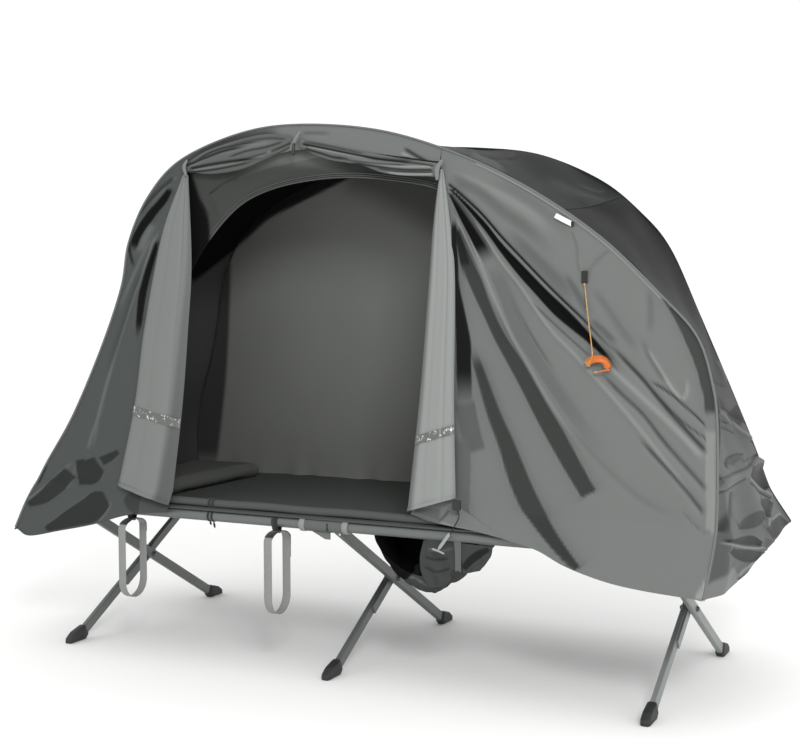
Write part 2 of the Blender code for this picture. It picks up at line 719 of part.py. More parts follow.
def main():
    """Build the whole tent cot."""
    clear_scene()
    parts = bpy.data.collections.new("tent_cot")
    bpy.context.scene.collection.children.link(parts)
    a_marker = hinge_empty("far_rail_axis", RAIL_Y, RAIL_Z, parts)
    b_marker = hinge_empty("crossing_axis", 0.0, CROSS_Z, parts)
    near_marker = hinge_empty("near_rail_axis", -RAIL_Y, RAIL_Z, parts)
    build_rails(parts, near_marker)
    build_legs(parts, a_marker, b_marker)
    build_deck(parts)
    build_poles(parts)
    build_inner_tent(parts)
    build_fly(parts)
    build_door(parts)
    build_loops(parts, near_marker)
    build_pouch(parts, near_marker)
    build_guylines(parts)


main()
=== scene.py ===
"""Looks of a one-person tent cot: cloth, webbing, cords, metal, studio and camera.

Each sub-assembly is a class that holds its sizes and builds its own pieces round
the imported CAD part. Metres, +Z up, +X towards the foot end, -Y the open side.
Places on the cloth are read off the photograph as pixels of its 800 by 754 frame.
"""
import enum
import logging
import math
from dataclasses import dataclass, field
from typing import Callable, Sequence

import bpy
import numpy as np
from mathutils import Matrix, Vector


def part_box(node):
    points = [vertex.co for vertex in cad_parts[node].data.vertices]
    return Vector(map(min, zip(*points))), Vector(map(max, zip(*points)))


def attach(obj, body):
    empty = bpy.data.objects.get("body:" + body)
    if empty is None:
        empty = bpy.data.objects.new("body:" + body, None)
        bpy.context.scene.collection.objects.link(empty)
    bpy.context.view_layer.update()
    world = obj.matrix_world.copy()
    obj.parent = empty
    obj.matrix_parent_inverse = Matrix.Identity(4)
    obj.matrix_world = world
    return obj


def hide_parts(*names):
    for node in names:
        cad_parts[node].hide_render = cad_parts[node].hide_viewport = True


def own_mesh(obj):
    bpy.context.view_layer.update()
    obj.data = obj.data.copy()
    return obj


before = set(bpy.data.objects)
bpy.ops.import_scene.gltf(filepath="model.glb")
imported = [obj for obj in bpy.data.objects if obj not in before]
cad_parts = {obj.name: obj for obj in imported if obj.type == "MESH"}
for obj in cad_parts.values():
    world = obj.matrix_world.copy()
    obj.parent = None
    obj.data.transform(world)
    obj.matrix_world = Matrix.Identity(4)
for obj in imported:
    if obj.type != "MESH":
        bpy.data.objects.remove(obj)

Array = np.ndarray
Points = np.ndarray
Curve = Callable[[Array], Array]
Shape = Callable[[Array, Array], Points]
Amount = Callable[[Array, Array, Points], Array]
Ring = Callable[[float], Array]
Pixel = tuple[float, float]
Place = tuple[float, float, float]
Socket = bpy.types.NodeSocket
Piece = bpy.types.Object
log = logging.getLogger("tent_cot")

ROOT = "root"
# How far out and how high the rails lie, and the roll on the deck's near edge
RAIL_Y = 0.352
RAIL_Z = 0.404
ROLL_Y = -0.3495
ROLL_Z = 0.4395
ALONG = (1.0, 0.0, 0.0)
ACROSS = (0.0, 1.0, 0.0)
NEARWARD = (0.0, -1.0, 0.0)
UPWARD = (0.0, 0.0, 1.0)
HEADWARD = (-1.0, 0.0, 0.3)
FOOTWARD = (1.0, 0.0, 0.3)
# A panel pinned at none of its edges
LOOSE = (0.0, 0.0, 0.0, 0.0)
# The thickness of tapes, straps and trim cloth
THIN = 0.0012
# A wave texture of scale 1 repeats every 0.314 m
WAVE = 0.314


# Small tools


def linear(code: str) -> tuple[float, float, float, float]:
    """Turn an sRGB hex colour into Blender's linear values.

    Args:
        code: six hex digits, with or without a leading #.

    Returns:
        Red, green and blue from 0 to 1, and an alpha of 1.
    """
    digits = code.lstrip("#")
    values = [int(digits[i:i + 2], 16) / 255.0 for i in (0, 2, 4)]
    red, green, blue = (
        v / 12.92 if v <= 0.04045 else ((v + 0.055) / 1.055) ** 2.4 for v in values)
    return red, green, blue, 1.0


def deselect() -> None:
    """Leave nothing selected."""
    bpy.ops.object.select_all(action="DESELECT")


def only(piece: Piece) -> None:
    """Select one piece and make it the active one."""
    deselect()
    piece.select_set(True)
    bpy.context.view_layer.objects.active = piece


def modify(piece: Piece, kind: str, **settings) -> None:
    """Add a modifier to a piece and apply it.

    Args:
        piece: the piece.
        kind: the modifier's type name.
        settings: its attributes.
    """
    modifier = piece.modifiers.new(kind.lower(), kind)
    for name, value in settings.items():
        setattr(modifier, name, value)
    only(piece)
    bpy.ops.object.modifier_apply(modifier=modifier.name)


def seat(piece: Piece) -> None:
    """Put a piece's place, turn and scale into its mesh."""
    only(piece)
    bpy.ops.object.transform_apply(location=True, rotation=True, scale=True)


def smooth(piece: Piece, degrees: float = 40.0) -> None:
    """Shade a piece smooth up to an angle."""
    only(piece)
    bpy.ops.object.shade_smooth_by_angle(angle=math.radians(degrees), keep_sharp_edges=True)


def dress(piece: Piece, name: str, finish: "Finish") -> Piece:
    """Name a piece and give it its finish.

    Args:
        piece: the finished mesh.
        name: the piece's name.
        finish: what it is made of.

    Returns:
        The piece.
    """
    piece.name = name
    piece.data.name = name
    piece.data.materials.clear()
    piece.data.materials.append(finish.material())
    return piece


def soft_ride(piece: Piece) -> Piece:
    """Let a piece of the canopy or deck ride on the root, with a mesh of its own."""
    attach(piece, ROOT)
    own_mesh(piece)
    return piece


def places(piece: Piece) -> Points:
    """The places of a piece's vertices, one row each."""
    values = np.empty(len(piece.data.vertices) * 3)
    piece.data.vertices.foreach_get("co", values)
    return values.reshape(-1, 3)


def grid(columns: int, rows: int) -> tuple[Piece, Points]:
    """A new flat grid of side 1, and its vertices' places."""
    deselect()
    bpy.ops.mesh.primitive_grid_add(x_subdivisions=columns, y_subdivisions=rows, size=1.0)
    return bpy.context.object, places(bpy.context.object)


def lay_map(mesh: bpy.types.Mesh, u: Array, v: Array) -> None:
    """Write a piece's map.

    Args:
        mesh: the piece's mesh.
        u: each vertex's place across the flat cloth or along the strap, in metres.
        v: its place up the cloth or round the strap.
    """
    corners = np.empty(len(mesh.loops), int)
    mesh.loops.foreach_get("vertex_index", corners)
    layer = mesh.uv_layers.active or mesh.uv_layers.new(name="flat")
    layer.data.foreach_set("uv", np.stack([u[corners], v[corners]], axis=1).ravel())


def darken(mesh: bpy.types.Mesh, shade: Array) -> None:
    """Store each vertex's painted shade, below zero its painted light, for the finish to read."""
    mesh.attributes.new("fold", "FLOAT", "POINT").data.foreach_set("value", shade.astype(np.float32))


def between(low: Curve, high: Curve) -> Shape:
    """Cloth stretched straight from a low edge to a high one, each a function of the share across."""
    return lambda s, t: low(s) * (1.0 - t)[:, None] + high(s) * t[:, None]


def even(shade: float) -> Amount:
    """One painted shade, below zero painted light, all over a cloth."""
    return lambda s, t, flat: np.full(len(s), shade)


def pairs(text: str) -> list[tuple[float, ...]]:
    """The pairs of numbers in a text, such as "120,40 128,52"."""
    return [tuple(float(number) for number in pair.split(",")) for pair in text.split()]


def smoothstep(value: Array) -> Array:
    """Ease a value between 0 and 1."""
    held = np.clip(value, 0.0, 1.0)
    return held * held * (3.0 - 2.0 * held)


def ripple(x: Array, y: Array, seed: int, count: int = 5) -> Array:
    """A smooth, repeatable unevenness from a few crossing waves.

    Args:
        x: place along one way, in waves.
        y: place along the other, in waves.
        seed: picks the waves.
        count: how many waves cross.

    Returns:
        Values of about -1 to 1.
    """
    draw = np.random.default_rng(seed)
    total = np.zeros_like(x)
    for _ in range(count):
        turn = draw.uniform(0.0, math.tau)
        pace = draw.uniform(0.6, 1.7)
        shift = draw.uniform(0.0, math.tau)
        total += np.sin(math.tau * pace * (x * math.cos(turn) + y * math.sin(turn)) + shift)
    return total / count * 1.4


class Line:
    """A smooth line through points, measured by the share of its length."""

    STEPS = 12

    def __init__(self, points: Sequence[Sequence[float]] | str) -> None:
        """Lay the line through every point.

        Args:
            points: at least two places, of two or three numbers each, or a text of pairs.
        """
        nodes = np.array(pairs(points) if isinstance(points, str) else points, float)
        ends = np.vstack([2.0 * nodes[0] - nodes[1], nodes, 2.0 * nodes[-1] - nodes[-2]])
        t = (np.arange(self.STEPS) / self.STEPS)[:, None]
        dense = []
        for p0, p1, p2, p3 in zip(ends, ends[1:], ends[2:], ends[3:]):
            dense.append(0.5 * (2.0 * p1 + (p2 - p0) * t + (2.0 * p0 - 5.0 * p1 + 4.0 * p2 - p3) * t ** 2
                                + (3.0 * p1 - p0 - 3.0 * p2 + p3) * t ** 3))
        self.dense = np.vstack(dense + [nodes[-1:]])
        steps = np.linalg.norm(np.diff(self.dense, axis=0), axis=1)
        self.travelled = np.concatenate([[0.0], np.cumsum(steps)])
        self.length = float(self.travelled[-1])

    def at(self, share: Array | float) -> Array:
        """The points at these shares of the length."""
        target = np.clip(np.asarray(share, float), 0.0, 1.0) * self.length
        columns = [np.interp(target, self.travelled, column) for column in self.dense.T]
        return np.stack(columns, axis=-1)

    def spread(self, count: int) -> Array:
        """This many points, evenly apart from end to end."""
        return self.at(np.linspace(0.0, 1.0, count))

    def outward(self, share: Array | float) -> Array:
        """The unit normal of a flat line, to its left."""
        share = np.asarray(share, float)
        ahead = self.at(share + 0.004) - self.at(share - 0.004)
        turned = np.stack([-ahead[..., 1], ahead[..., 0]], axis=-1)
        return turned / np.linalg.norm(turned, axis=-1, keepdims=True)


# The photograph's camera


@dataclass
class Photograph:
    """The camera that took the photograph, fitted to the feet and crossings."""

    width: int = 800
    height: int = 754
    focal: float = 1319.73
    place: Place = (1.6718, -3.3240, 0.9898)
    yaw: float = math.radians(-26.347)
    pitch: float = math.radians(-3.327)
    roll: float = math.radians(-0.137)
    sensor: float = 36.0

    def axes(self) -> Array:
        """The camera's right, up and forward directions, as rows."""
        sin_y, cos_y = math.sin(self.yaw), math.cos(self.yaw)
        sin_p, cos_p = math.sin(self.pitch), math.cos(self.pitch)
        forward = np.array([sin_y * cos_p, cos_y * cos_p, sin_p])
        level = np.array([cos_y, -sin_y, 0.0])
        upright = np.cross(level, forward)
        sin_r, cos_r = math.sin(self.roll), math.cos(self.roll)
        return np.array([cos_r * level + sin_r * upright, -sin_r * level + cos_r * upright, forward])

    def pixels(self, points: Points) -> Array:
        """Where points show in the photograph.

        Args:
            points: places in the part's frame.

        Returns:
            Their pixels, across and down.
        """
        seen = (np.asarray(points, float) - np.array(self.place)) @ self.axes().T
        across = self.width / 2.0 + self.focal * seen[..., 0] / seen[..., 2]
        down = self.height / 2.0 - self.focal * seen[..., 1] / seen[..., 2]
        return np.stack([across, down], axis=-1)

    def on_plane(self, pixel: Pixel, normal: Sequence[float], offset: float) -> Array:
        """The point of a plane that shows at a pixel.

        Args:
            pixel: across and down.
            normal: the plane's normal.
            offset: what its points give, multiplied by the normal.

        Returns:
            The point.
        """
        right, upright, forward = self.axes()
        ray = ((pixel[0] - self.width / 2.0) / self.focal * right
               - (pixel[1] - self.height / 2.0) / self.focal * upright + forward)
        place, normal = np.array(self.place), np.array(normal, float)
        return place + (offset - normal @ place) / (normal @ ray) * ray

    def build(self) -> None:
        """Make the camera and use it."""
        data = bpy.data.cameras.new("photograph")
        data.sensor_width = self.sensor
        data.lens = self.focal * self.sensor / self.width
        camera = bpy.data.objects.new("photograph", data)
        right, upright, forward = self.axes()
        turn = Matrix((right, upright, -forward)).transposed()
        camera.matrix_world = Matrix.Translation(self.place) @ turn.to_4x4()
        bpy.context.scene.collection.objects.link(camera)
        bpy.context.scene.camera = camera


PHOTO = Photograph()


# Finishes


class Nodes:
    """Short ways to add the nodes of one material."""

    def __init__(self, tree: bpy.types.NodeTree) -> None:
        """Start from the piece's own places and map."""
        self.tree = tree
        place = tree.nodes.new("ShaderNodeTexCoord")
        self.place, self.flat = place.outputs["Object"], place.outputs["UV"]

    def feed(self, node: bpy.types.Node, sockets: dict) -> None:
        """Give a node's inputs, by name or number, their values or the sockets that feed them."""
        for key, value in sockets.items():
            if isinstance(value, Socket):
                self.tree.links.new(value, node.inputs[key])
            else:
                node.inputs[key].default_value = value

    def add(self, kind: str, sockets: dict, output: int | str = 0, **settings) -> Socket:
        """Add a node.

        Args:
            kind: the node's type name.
            sockets: what feeds its inputs.
            output: the output that is asked for, by name or number.
            settings: attributes of the node.

        Returns:
            That output.
        """
        node = self.tree.nodes.new(kind)
        for name, value in settings.items():
            setattr(node, name, value)
        self.feed(node, sockets)
        return node.outputs[output]

    def noise(self, scale: float, detail: float = 2.0, where: Socket | None = None) -> Socket:
        """Cloudy noise."""
        sockets = {"Vector": where or self.place, "Scale": scale, "Detail": detail}
        return self.add("ShaderNodeTexNoise", sockets, "Fac")

    def wave(self, scale: float, way: str, bent: float = 0.0, where: Socket | None = None) -> Socket:
        """Regular bands on the piece's map, a little bent."""
        sockets = {"Vector": where or self.flat, "Scale": scale, "Distortion": bent, "Detail": 1.0}
        return self.add("ShaderNodeTexWave", sockets, "Fac", bands_direction=way)

    def stretched(self, where: Socket, scale: Place) -> Socket:
        """A map stretched along its axes."""
        return self.add("ShaderNodeMapping", {"Vector": where, "Scale": scale})

    def ramp(self, value: Socket, low: float = 0.0, high: float = 1.0, first: float = 0.0,
             last: float = 1.0) -> Socket:
        """A value that goes from first to last while the given one goes from low to high."""
        sockets = {"Value": value, "From Min": low, "From Max": high, "To Min": first, "To Max": last}
        return self.add("ShaderNodeMapRange", sockets)

    def math(self, operation: str, *values: Socket | float) -> Socket:
        """A sum, product or comparison of values."""
        return self.add("ShaderNodeMath", dict(enumerate(values)), operation=operation)

    def mix(self, share: Socket | float, first: Socket | str, second: Socket | str) -> Socket:
        """A colour between two, each a hex code or a socket."""
        low, high = (linear(colour) if isinstance(colour, str) else colour for colour in (first, second))
        return self.add("ShaderNodeMix", {0: share, 6: low, 7: high}, 2, data_type="RGBA")

    def finish(self, height: Socket, strength: float, depth: float, **inputs: Socket | float) -> None:
        """Feed the shader.

        Args:
            height: the relief, from 0 to 1.
            strength: how strongly it shows.
            depth: how deep it is, in metres.
            inputs: the shader's other inputs, with _ for each space.
        """
        relief = self.add("ShaderNodeBump", {"Strength": strength, "Distance": depth, "Height": height})
        self.feed(self.tree.nodes["Principled BSDF"],
                  {name.replace("_", " "): value for name, value in {**inputs, "Normal": relief}.items()})


@dataclass(frozen=True)
class Finish:
    """What a piece is made of."""

    name: str
    colour: str
    slot: str
    roughness: float = 0.6

    def material(self) -> bpy.types.Material:
        """The finish's material, made once."""
        made = bpy.data.materials.get(self.name)
        if not made:
            made = bpy.data.materials.new(self.name)
            made.use_nodes = True
            self.paint(Nodes(made.node_tree))
        return made

    def paint(self, make: Nodes) -> None:
        """Set up the material's nodes: here a dull, faintly clouded face."""
        tone = make.mix(make.ramp(make.noise(3.0), last=0.04), self.colour, "#F0F0EF")
        make.finish(make.noise(200.0), 0.05, 0.0003, Base_Color=tone, Roughness=self.roughness)


@dataclass(frozen=True)
class Cloth(Finish):
    """Coated polyester or taffeta: plain weave, a faint sheen, uneven from handling.

    The real threads lie 0.25 mm apart, too fine to show; they are drawn at 2.5 mm, faintly.
    """

    thread: float = 0.0025
    worn: str = "#9A9C99"
    wear: float = 0.10
    bump: float = 0.12
    # The colour between the threads, and of the painted shade in deep folds
    deep: str = "#0D0E0D"
    # The colour of the painted highlights on crests
    crest: str = "#A5A7A4"
    gloss: float = 0.22

    def paint(self, make: Nodes) -> None:
        """Weave on the cloth's own map, soft blotches, painted shade in folds and painted highlights on
        crests.
        """
        warp, weft = (make.wave(WAVE / self.thread, way, 0.4) for way in "XY")
        weave = make.math("MULTIPLY", warp, weft)
        blotch = make.noise(5.0, 4.0)
        tone = make.mix(make.ramp(blotch, 0.35, 0.75, last=self.wear), self.colour, self.worn)
        threads = make.mix(make.ramp(weave, first=0.05, last=0.0), tone, self.deep)
        # Painted shade, above zero, and painted highlights, below zero, from the fold attribute; the painted
        # shade also dulls the gloss
        fold = make.add("ShaderNodeAttribute", {}, "Fac", attribute_name="fold")
        lit = make.mix(make.ramp(fold, high=-1.0), threads, self.crest)
        folded = make.mix(make.ramp(fold), lit, self.deep)
        height = make.math("MULTIPLY_ADD", make.noise(42.0, 3.0), 3.0, weave)
        make.finish(height, self.bump, 0.0006, Base_Color=folded,
                    Roughness=make.ramp(blotch, first=self.roughness - 0.08, last=self.roughness + 0.10),
                    Specular_IOR_Level=make.ramp(fold, first=self.gloss, last=0.02))


@dataclass(frozen=True)
class Enamel(Finish):
    """Powder-coated steel tube: satin grey, fine orange peel, rubbed brighter along edges."""

    rubbed: str = "#9A9D9B"
    scratch: float = 0.35

    def paint(self, make: Nodes) -> None:
        """Grey coat with faint mottling, rubs and a fine peel."""
        rubs = make.noise(1.0, 4.0, make.stretched(make.place, (6.0, 90.0, 90.0)))
        edge = make.add("ShaderNodeNewGeometry", {}, "Pointiness")
        both = make.math("MAXIMUM", make.ramp(rubs, 0.55, 0.80, last=self.scratch),
                         make.ramp(edge, 0.52, 0.60, last=0.45))
        dull = make.ramp(make.noise(18.0, 5.0), first=self.roughness - 0.10, last=self.roughness + 0.12)
        make.finish(make.noise(700.0), 0.10, 0.0003, Base_Color=make.mix(both, self.colour, self.rubbed),
                    Metallic=0.35, Roughness=dull)


@dataclass(frozen=True)
class Moulded(Finish):
    """Injection-moulded plastic or rubber: dull, finely grained, dusty where it is handled."""

    dust: str = "#5B5D5B"
    grain: float = 900.0

    def paint(self, make: Nodes) -> None:
        """A spark-eroded grain and a little dust."""
        tone = make.mix(make.ramp(make.noise(26.0, 4.0), 0.45, 0.8, last=0.22), self.colour, self.dust)
        make.finish(make.noise(self.grain), 0.15, 0.0003, Base_Color=tone, Roughness=self.roughness)


@dataclass(frozen=True)
class Webbing(Finish):
    """Polyester webbing or tape: ribs across the strap and soft edges.

    The real ribs are 1.2 mm apart; they are drawn at 3 mm so that they show.
    """

    rib: float = 0.003

    def paint(self, make: Nodes) -> None:
        """Ribs along the strap's own map and a fine chevron."""
        ribs = make.wave(WAVE / self.rib, "X", 0.6)
        height = make.math("ADD", ribs, make.wave(2.2 * WAVE / self.rib, "DIAGONAL", 0.8))
        tone = make.mix(make.ramp(ribs, first=0.25, last=0.0), self.colour, "#000000")
        make.finish(height, 0.35, 0.0005, Base_Color=tone, Roughness=self.roughness, Sheen_Weight=0.2)


@dataclass(frozen=True)
class Braid(Finish):
    """Braided polyester cord: crossing strands, paler where the sun has bleached its first stretch."""

    start: str = "#D9A763"
    reach: float = 0.0

    def paint(self, make: Nodes) -> None:
        """Crossing strands on the cord's own map, u along it and v round it."""
        one = make.wave(28.0, "DIAGONAL")
        two = make.wave(28.0, "DIAGONAL", where=make.stretched(make.flat, (1.0, -1.0, 1.0)))
        strands = make.math("MULTIPLY", one, two)
        along = make.add("ShaderNodeSeparateXYZ", {0: make.flat})
        dye = make.mix(make.math("GREATER_THAN", along, self.reach), self.start, self.colour)
        make.finish(strands, 0.4, 0.0003, Roughness=self.roughness,
                    Base_Color=make.mix(strands, make.mix(0.4, dye, "#000000"), dye))


@dataclass(frozen=True)
class Reflective(Finish):
    """Glass-bead tape: grey, with bright crinkled flecks 4 mm across."""

    fleck: str = "#D9DBD8"

    def paint(self, make: Nodes) -> None:
        """Bright flecks on the silver-grey film."""
        sockets = {"Vector": make.place, "Scale": 170.0}
        far = make.add("ShaderNodeTexVoronoi", sockets, "Distance", feature="F1")
        both = make.math("MULTIPLY", make.ramp(make.noise(60.0, 4.0), 0.50, 0.62), make.ramp(far, 0.55, 0.25))
        make.finish(far, 0.3, 0.0005, Base_Color=make.mix(both, self.colour, self.fleck), Metallic=0.25,
                    Roughness=self.roughness)


# Coated 210D polyester taffeta, the fly's outer face: mid grey with a low silky gloss
FLY = Cloth("fly_taffeta", "#656866", "fly_cloth", 0.55, worn="#6D706E")
# The same cloth on the roof, with painted shade: nearly black, with dimmer painted highlights and less gloss
FLY_ROOF_PAINTED_SHADE = Cloth("fly_taffeta_roof", "#191C1B", "fly_cloth", 0.52, worn="#212423", crest="#5A5D5B", wear=0.4,
                 gloss=0.06)
# The same cloth on the loose, crumpled foot end, with painted shade, and painted highlights on its crests
FLY_END_PAINTED_SHADE = Cloth("fly_taffeta_end", "#454847", "fly_cloth", 0.46, worn="#505352", wear=0.3, crest="#8A8D8B")
# The same cloth with painted shade, for the panel and band at the head end and the far hem's tape
FLY_SHADE = Cloth("fly_taffeta_shade", "#404443", "fly_cloth", 0.50, worn="#484C4B", crest="#737775")
# The fly's paler reverse, seen on the tied-back curtains
LINING = Cloth("fly_reverse", "#6F7270", "fly_lining", 0.60, worn="#777A78")
# A lighter copy of the reverse, with painted light, for the right curtain
LINING_LIT = Cloth("fly_reverse_lit", "#818482", "fly_lining", 0.60, worn="#898C8A")
# Breathable inner-tent polyester: dark grey, dull, no gloss
INNER = Cloth("inner_polyester", "#3E403E", "inner_cloth", 0.80, worn="#484A48", bump=0.10, gloss=0.10)
# The piping along the door's zip
PIPING = Cloth("zip_piping", "#4E504E", "inner_cloth", 0.7, worn="#585A58", gloss=0.2)
# The same breathable polyester, made lighter by painted light, for the back wall lit through the door
INNER_WALL_PAINTED_LIGHT = Cloth("inner_wall_polyester", "#747673", "inner_cloth", 0.85, worn="#7A7C79", wear=0.5,
                   bump=0.08, gloss=0.10)
# Heavy 600D polyester, the deck and the pouch: dark, dull, coarser
DECK = Cloth("deck_polyester", "#4B4E4C", "deck_cloth", 0.82, thread=0.003, worn="#545755", bump=0.2,
             gloss=0.12)
POUCH = Cloth("pouch_polyester", "#3A3D3B", "deck_cloth", 0.80, thread=0.003, worn="#484B49", crest="#6A6D6B",
              bump=0.2, gloss=0.12)
PILLOW = Cloth("pillow_polyester", "#585A57", "pillow_cloth", 0.80, thread=0.003, worn="#616360", bump=0.15,
               gloss=0.12)
STEEL = Enamel("grey_enamelled_steel", "#545856", "legs", 0.42, rubbed="#7C807D")
# The same steel with painted light, for the foot end's legs and hubs
STEEL_PAINTED_LIGHT = Enamel("grey_enamelled_steel_chalky", "#7E8280", "legs", 0.45, rubbed="#969A98")
RAIL_STEEL = Enamel("rail_enamelled_steel", "#555957", "rails", 0.40, rubbed="#747876")
BRIGHT = Enamel("zinc_plated_rivet", "#C9CCCA", "legs", 0.30, rubbed="#E4E6E4")
RUBBER = Moulded("moulded_rubber", "#222423", "foot_caps", 0.60)
SLEEVE = Moulded("moulded_grey_plastic", "#4E5250", "rail_sleeve", 0.45, dust="#636765")
COLLAR = Moulded("moulded_collar", "#7B7F7C", "rail_sleeve", 0.45, dust="#8C908D")
BLACK_PLASTIC = Moulded("moulded_black_plastic", "#161716", "black_tape", 0.40, dust="#2C2E2C")
PALE_PLASTIC = Moulded("moulded_pale_plastic", "#8E918F", "webbing", 0.45, dust="#A3A6A4")
FIBRE = Moulded("fibreglass_rod", "#1E1F1E", "poles", 0.38)
WEBBING = Webbing("polyester_webbing", "#868885", "webbing", 0.8)
STRAP = Webbing("grey_polyester_tape", "#555856", "webbing", 0.8)
TAPE = Webbing("black_polyester_tape", "#141514", "black_tape", 0.8)
ELASTIC = Braid("black_elastic_cord", "#161716", "black_tape", 0.7)
GUY = Braid("braided_orange_guyline", "#F58A3C", "guy_cord", 0.7, reach=0.30)
GUY_PALE = Braid("braided_pale_guyline", "#C9CAC4", "guy_cord", 0.7, start="#C9CAC4")
SHINE = Reflective("reflective_tape", "#5E605D", "fly_lining", 0.4)
LABEL = Webbing("blank_woven_label", "#E9EBE9", "fly_lining", 0.7)


# Folds read off the photograph


def beside(route: Array, pixels: Array) -> tuple[Array, Array, Array]:
    """Find how pixels lie beside a line.

    Args:
        route: the line's points, close together.
        pixels: the places asked about.

    Returns:
        For each place: its share along the line, its distance, and the way off it.
    """
    best = np.full(len(pixels), 1e9)
    along = np.zeros(len(pixels))
    way = np.zeros_like(pixels)
    for index in range(len(route) - 1):
        start, step = route[index], route[index + 1] - route[index]
        gone = pixels - start
        t = np.clip(gone @ step / (step @ step), 0.0, 1.0)
        off = gone - t[:, None] * step
        far = np.hypot(off[:, 0], off[:, 1])
        closer = far < best
        best[closer] = far[closer]
        along[closer] = ((index + t) / (len(route) - 1))[closer]
        way[closer] = off[closer]
    return along, best, way


def fade(along: Array, first: float, last: float) -> Array:
    """Let a fold grow over its first share and die away over its last, along its length."""
    return smoothstep(along / max(first, 0.012)) * smoothstep((1.0 - along) / max(last, 0.012))


@dataclass(frozen=True)
class Fold:
    """A crease or crest in the cloth, drawn along pixels of the photograph.

    Depth is in millimetres, below zero for a crease. Width is the half-width in pixels, and widen what it
    grows to by the end. Shade is painted shade along it, and below zero painted light.
    """

    line: str
    depth: float
    width: float
    shade: float
    first: float = 0.15
    last: float = 0.3
    widen: float = 1.0

    def amount(self, pixels: Array) -> tuple[Array, Array]:
        """How far the fold moves the cloth, in metres outwards, and how dark it is."""
        along, far, _ = beside(Line(self.line).spread(26), pixels)
        width = self.width * (1.0 + (self.widen - 1.0) * along)
        strength = fade(along, self.first, self.last)
        shape = np.exp(-(far / width) ** 1.5)
        core = np.exp(-(far / (width * 0.75)) ** 3)
        return self.depth / 1000.0 * shape * strength, self.shade * core * strength


@dataclass(frozen=True)
class Pleat:
    """A facet between two lines of the photograph, turned away from the light.

    The cloth stands up along its low line and falls to its high line, by a depth
    in millimetres. Shade is painted shade on the facet, below zero painted light. Soft is
    how many pixels each edge takes to fade; reach is how far the cloth beside it is moved.
    """

    low: str
    high: str
    depth: float
    shade: float
    soft_low: float = 1.2
    soft_high: float = 1.2
    reach: float = 4.0
    first: float = 0.05
    last: float = 0.1

    def amount(self, pixels: Array) -> tuple[Array, Array]:
        """How far the pleat moves the cloth, in metres outwards, and how dark it is."""
        shares = np.linspace(0.0, 1.0, 30)
        low, high = Line(self.low).at(shares), Line(self.high).at(shares)
        along, far, way = beside((low + high) / 2.0, pixels)
        index = along * (len(shares) - 1)
        steps = np.arange(len(shares))
        across = high - low
        gap = np.stack([np.interp(index, steps, across[:, axis]) for axis in (0, 1)], axis=1)
        ahead = np.gradient((low + high) / 2.0, axis=0)
        square = np.stack([-ahead[:, 1], ahead[:, 0]], axis=1) / np.linalg.norm(ahead, axis=1, keepdims=True)
        width = np.abs((across * square).sum(axis=1))
        half = np.interp(index, steps, width) / 2.0 + 0.2
        side = np.sign((way * gap).sum(axis=1)) * far
        strength = fade(along, self.first, self.last)
        dark = (smoothstep((half + side) / self.soft_low + 0.5)
                * smoothstep((half - side) / self.soft_high + 0.5))
        beyond = np.maximum(far - half, 0.0)
        fall = np.clip(side / np.maximum(half, 1.5), -1.0, 1.0)
        move = -self.depth / 1000.0 * fall * np.exp(-beyond / self.reach) * strength
        return move, self.shade * dark * strength


Crease = Fold | Pleat


def fold_field(folds: Sequence[Crease], points: Points) -> tuple[Array, Array]:
    """Add up the folds at a cloth's points.

    Args:
        folds: the panel's folds.
        points: the cloth's unfolded points.

    Returns:
        Metres outwards, and painted shading from -1, painted light, to 1, painted shade.
    """
    pixels = PHOTO.pixels(points)
    move, dark, light = (np.zeros(len(points)) for _ in range(3))
    for fold in folds:
        more, shade = fold.amount(pixels)
        move += more
        dark = np.maximum(dark, shade)
        light = np.maximum(light, -shade)
    return move, dark - light * (1.0 - dark)


# Making cloth


class Held(enum.Enum):
    """How a cloth is held."""

    STRETCHED = "stretched"
    HUNG = "hung"


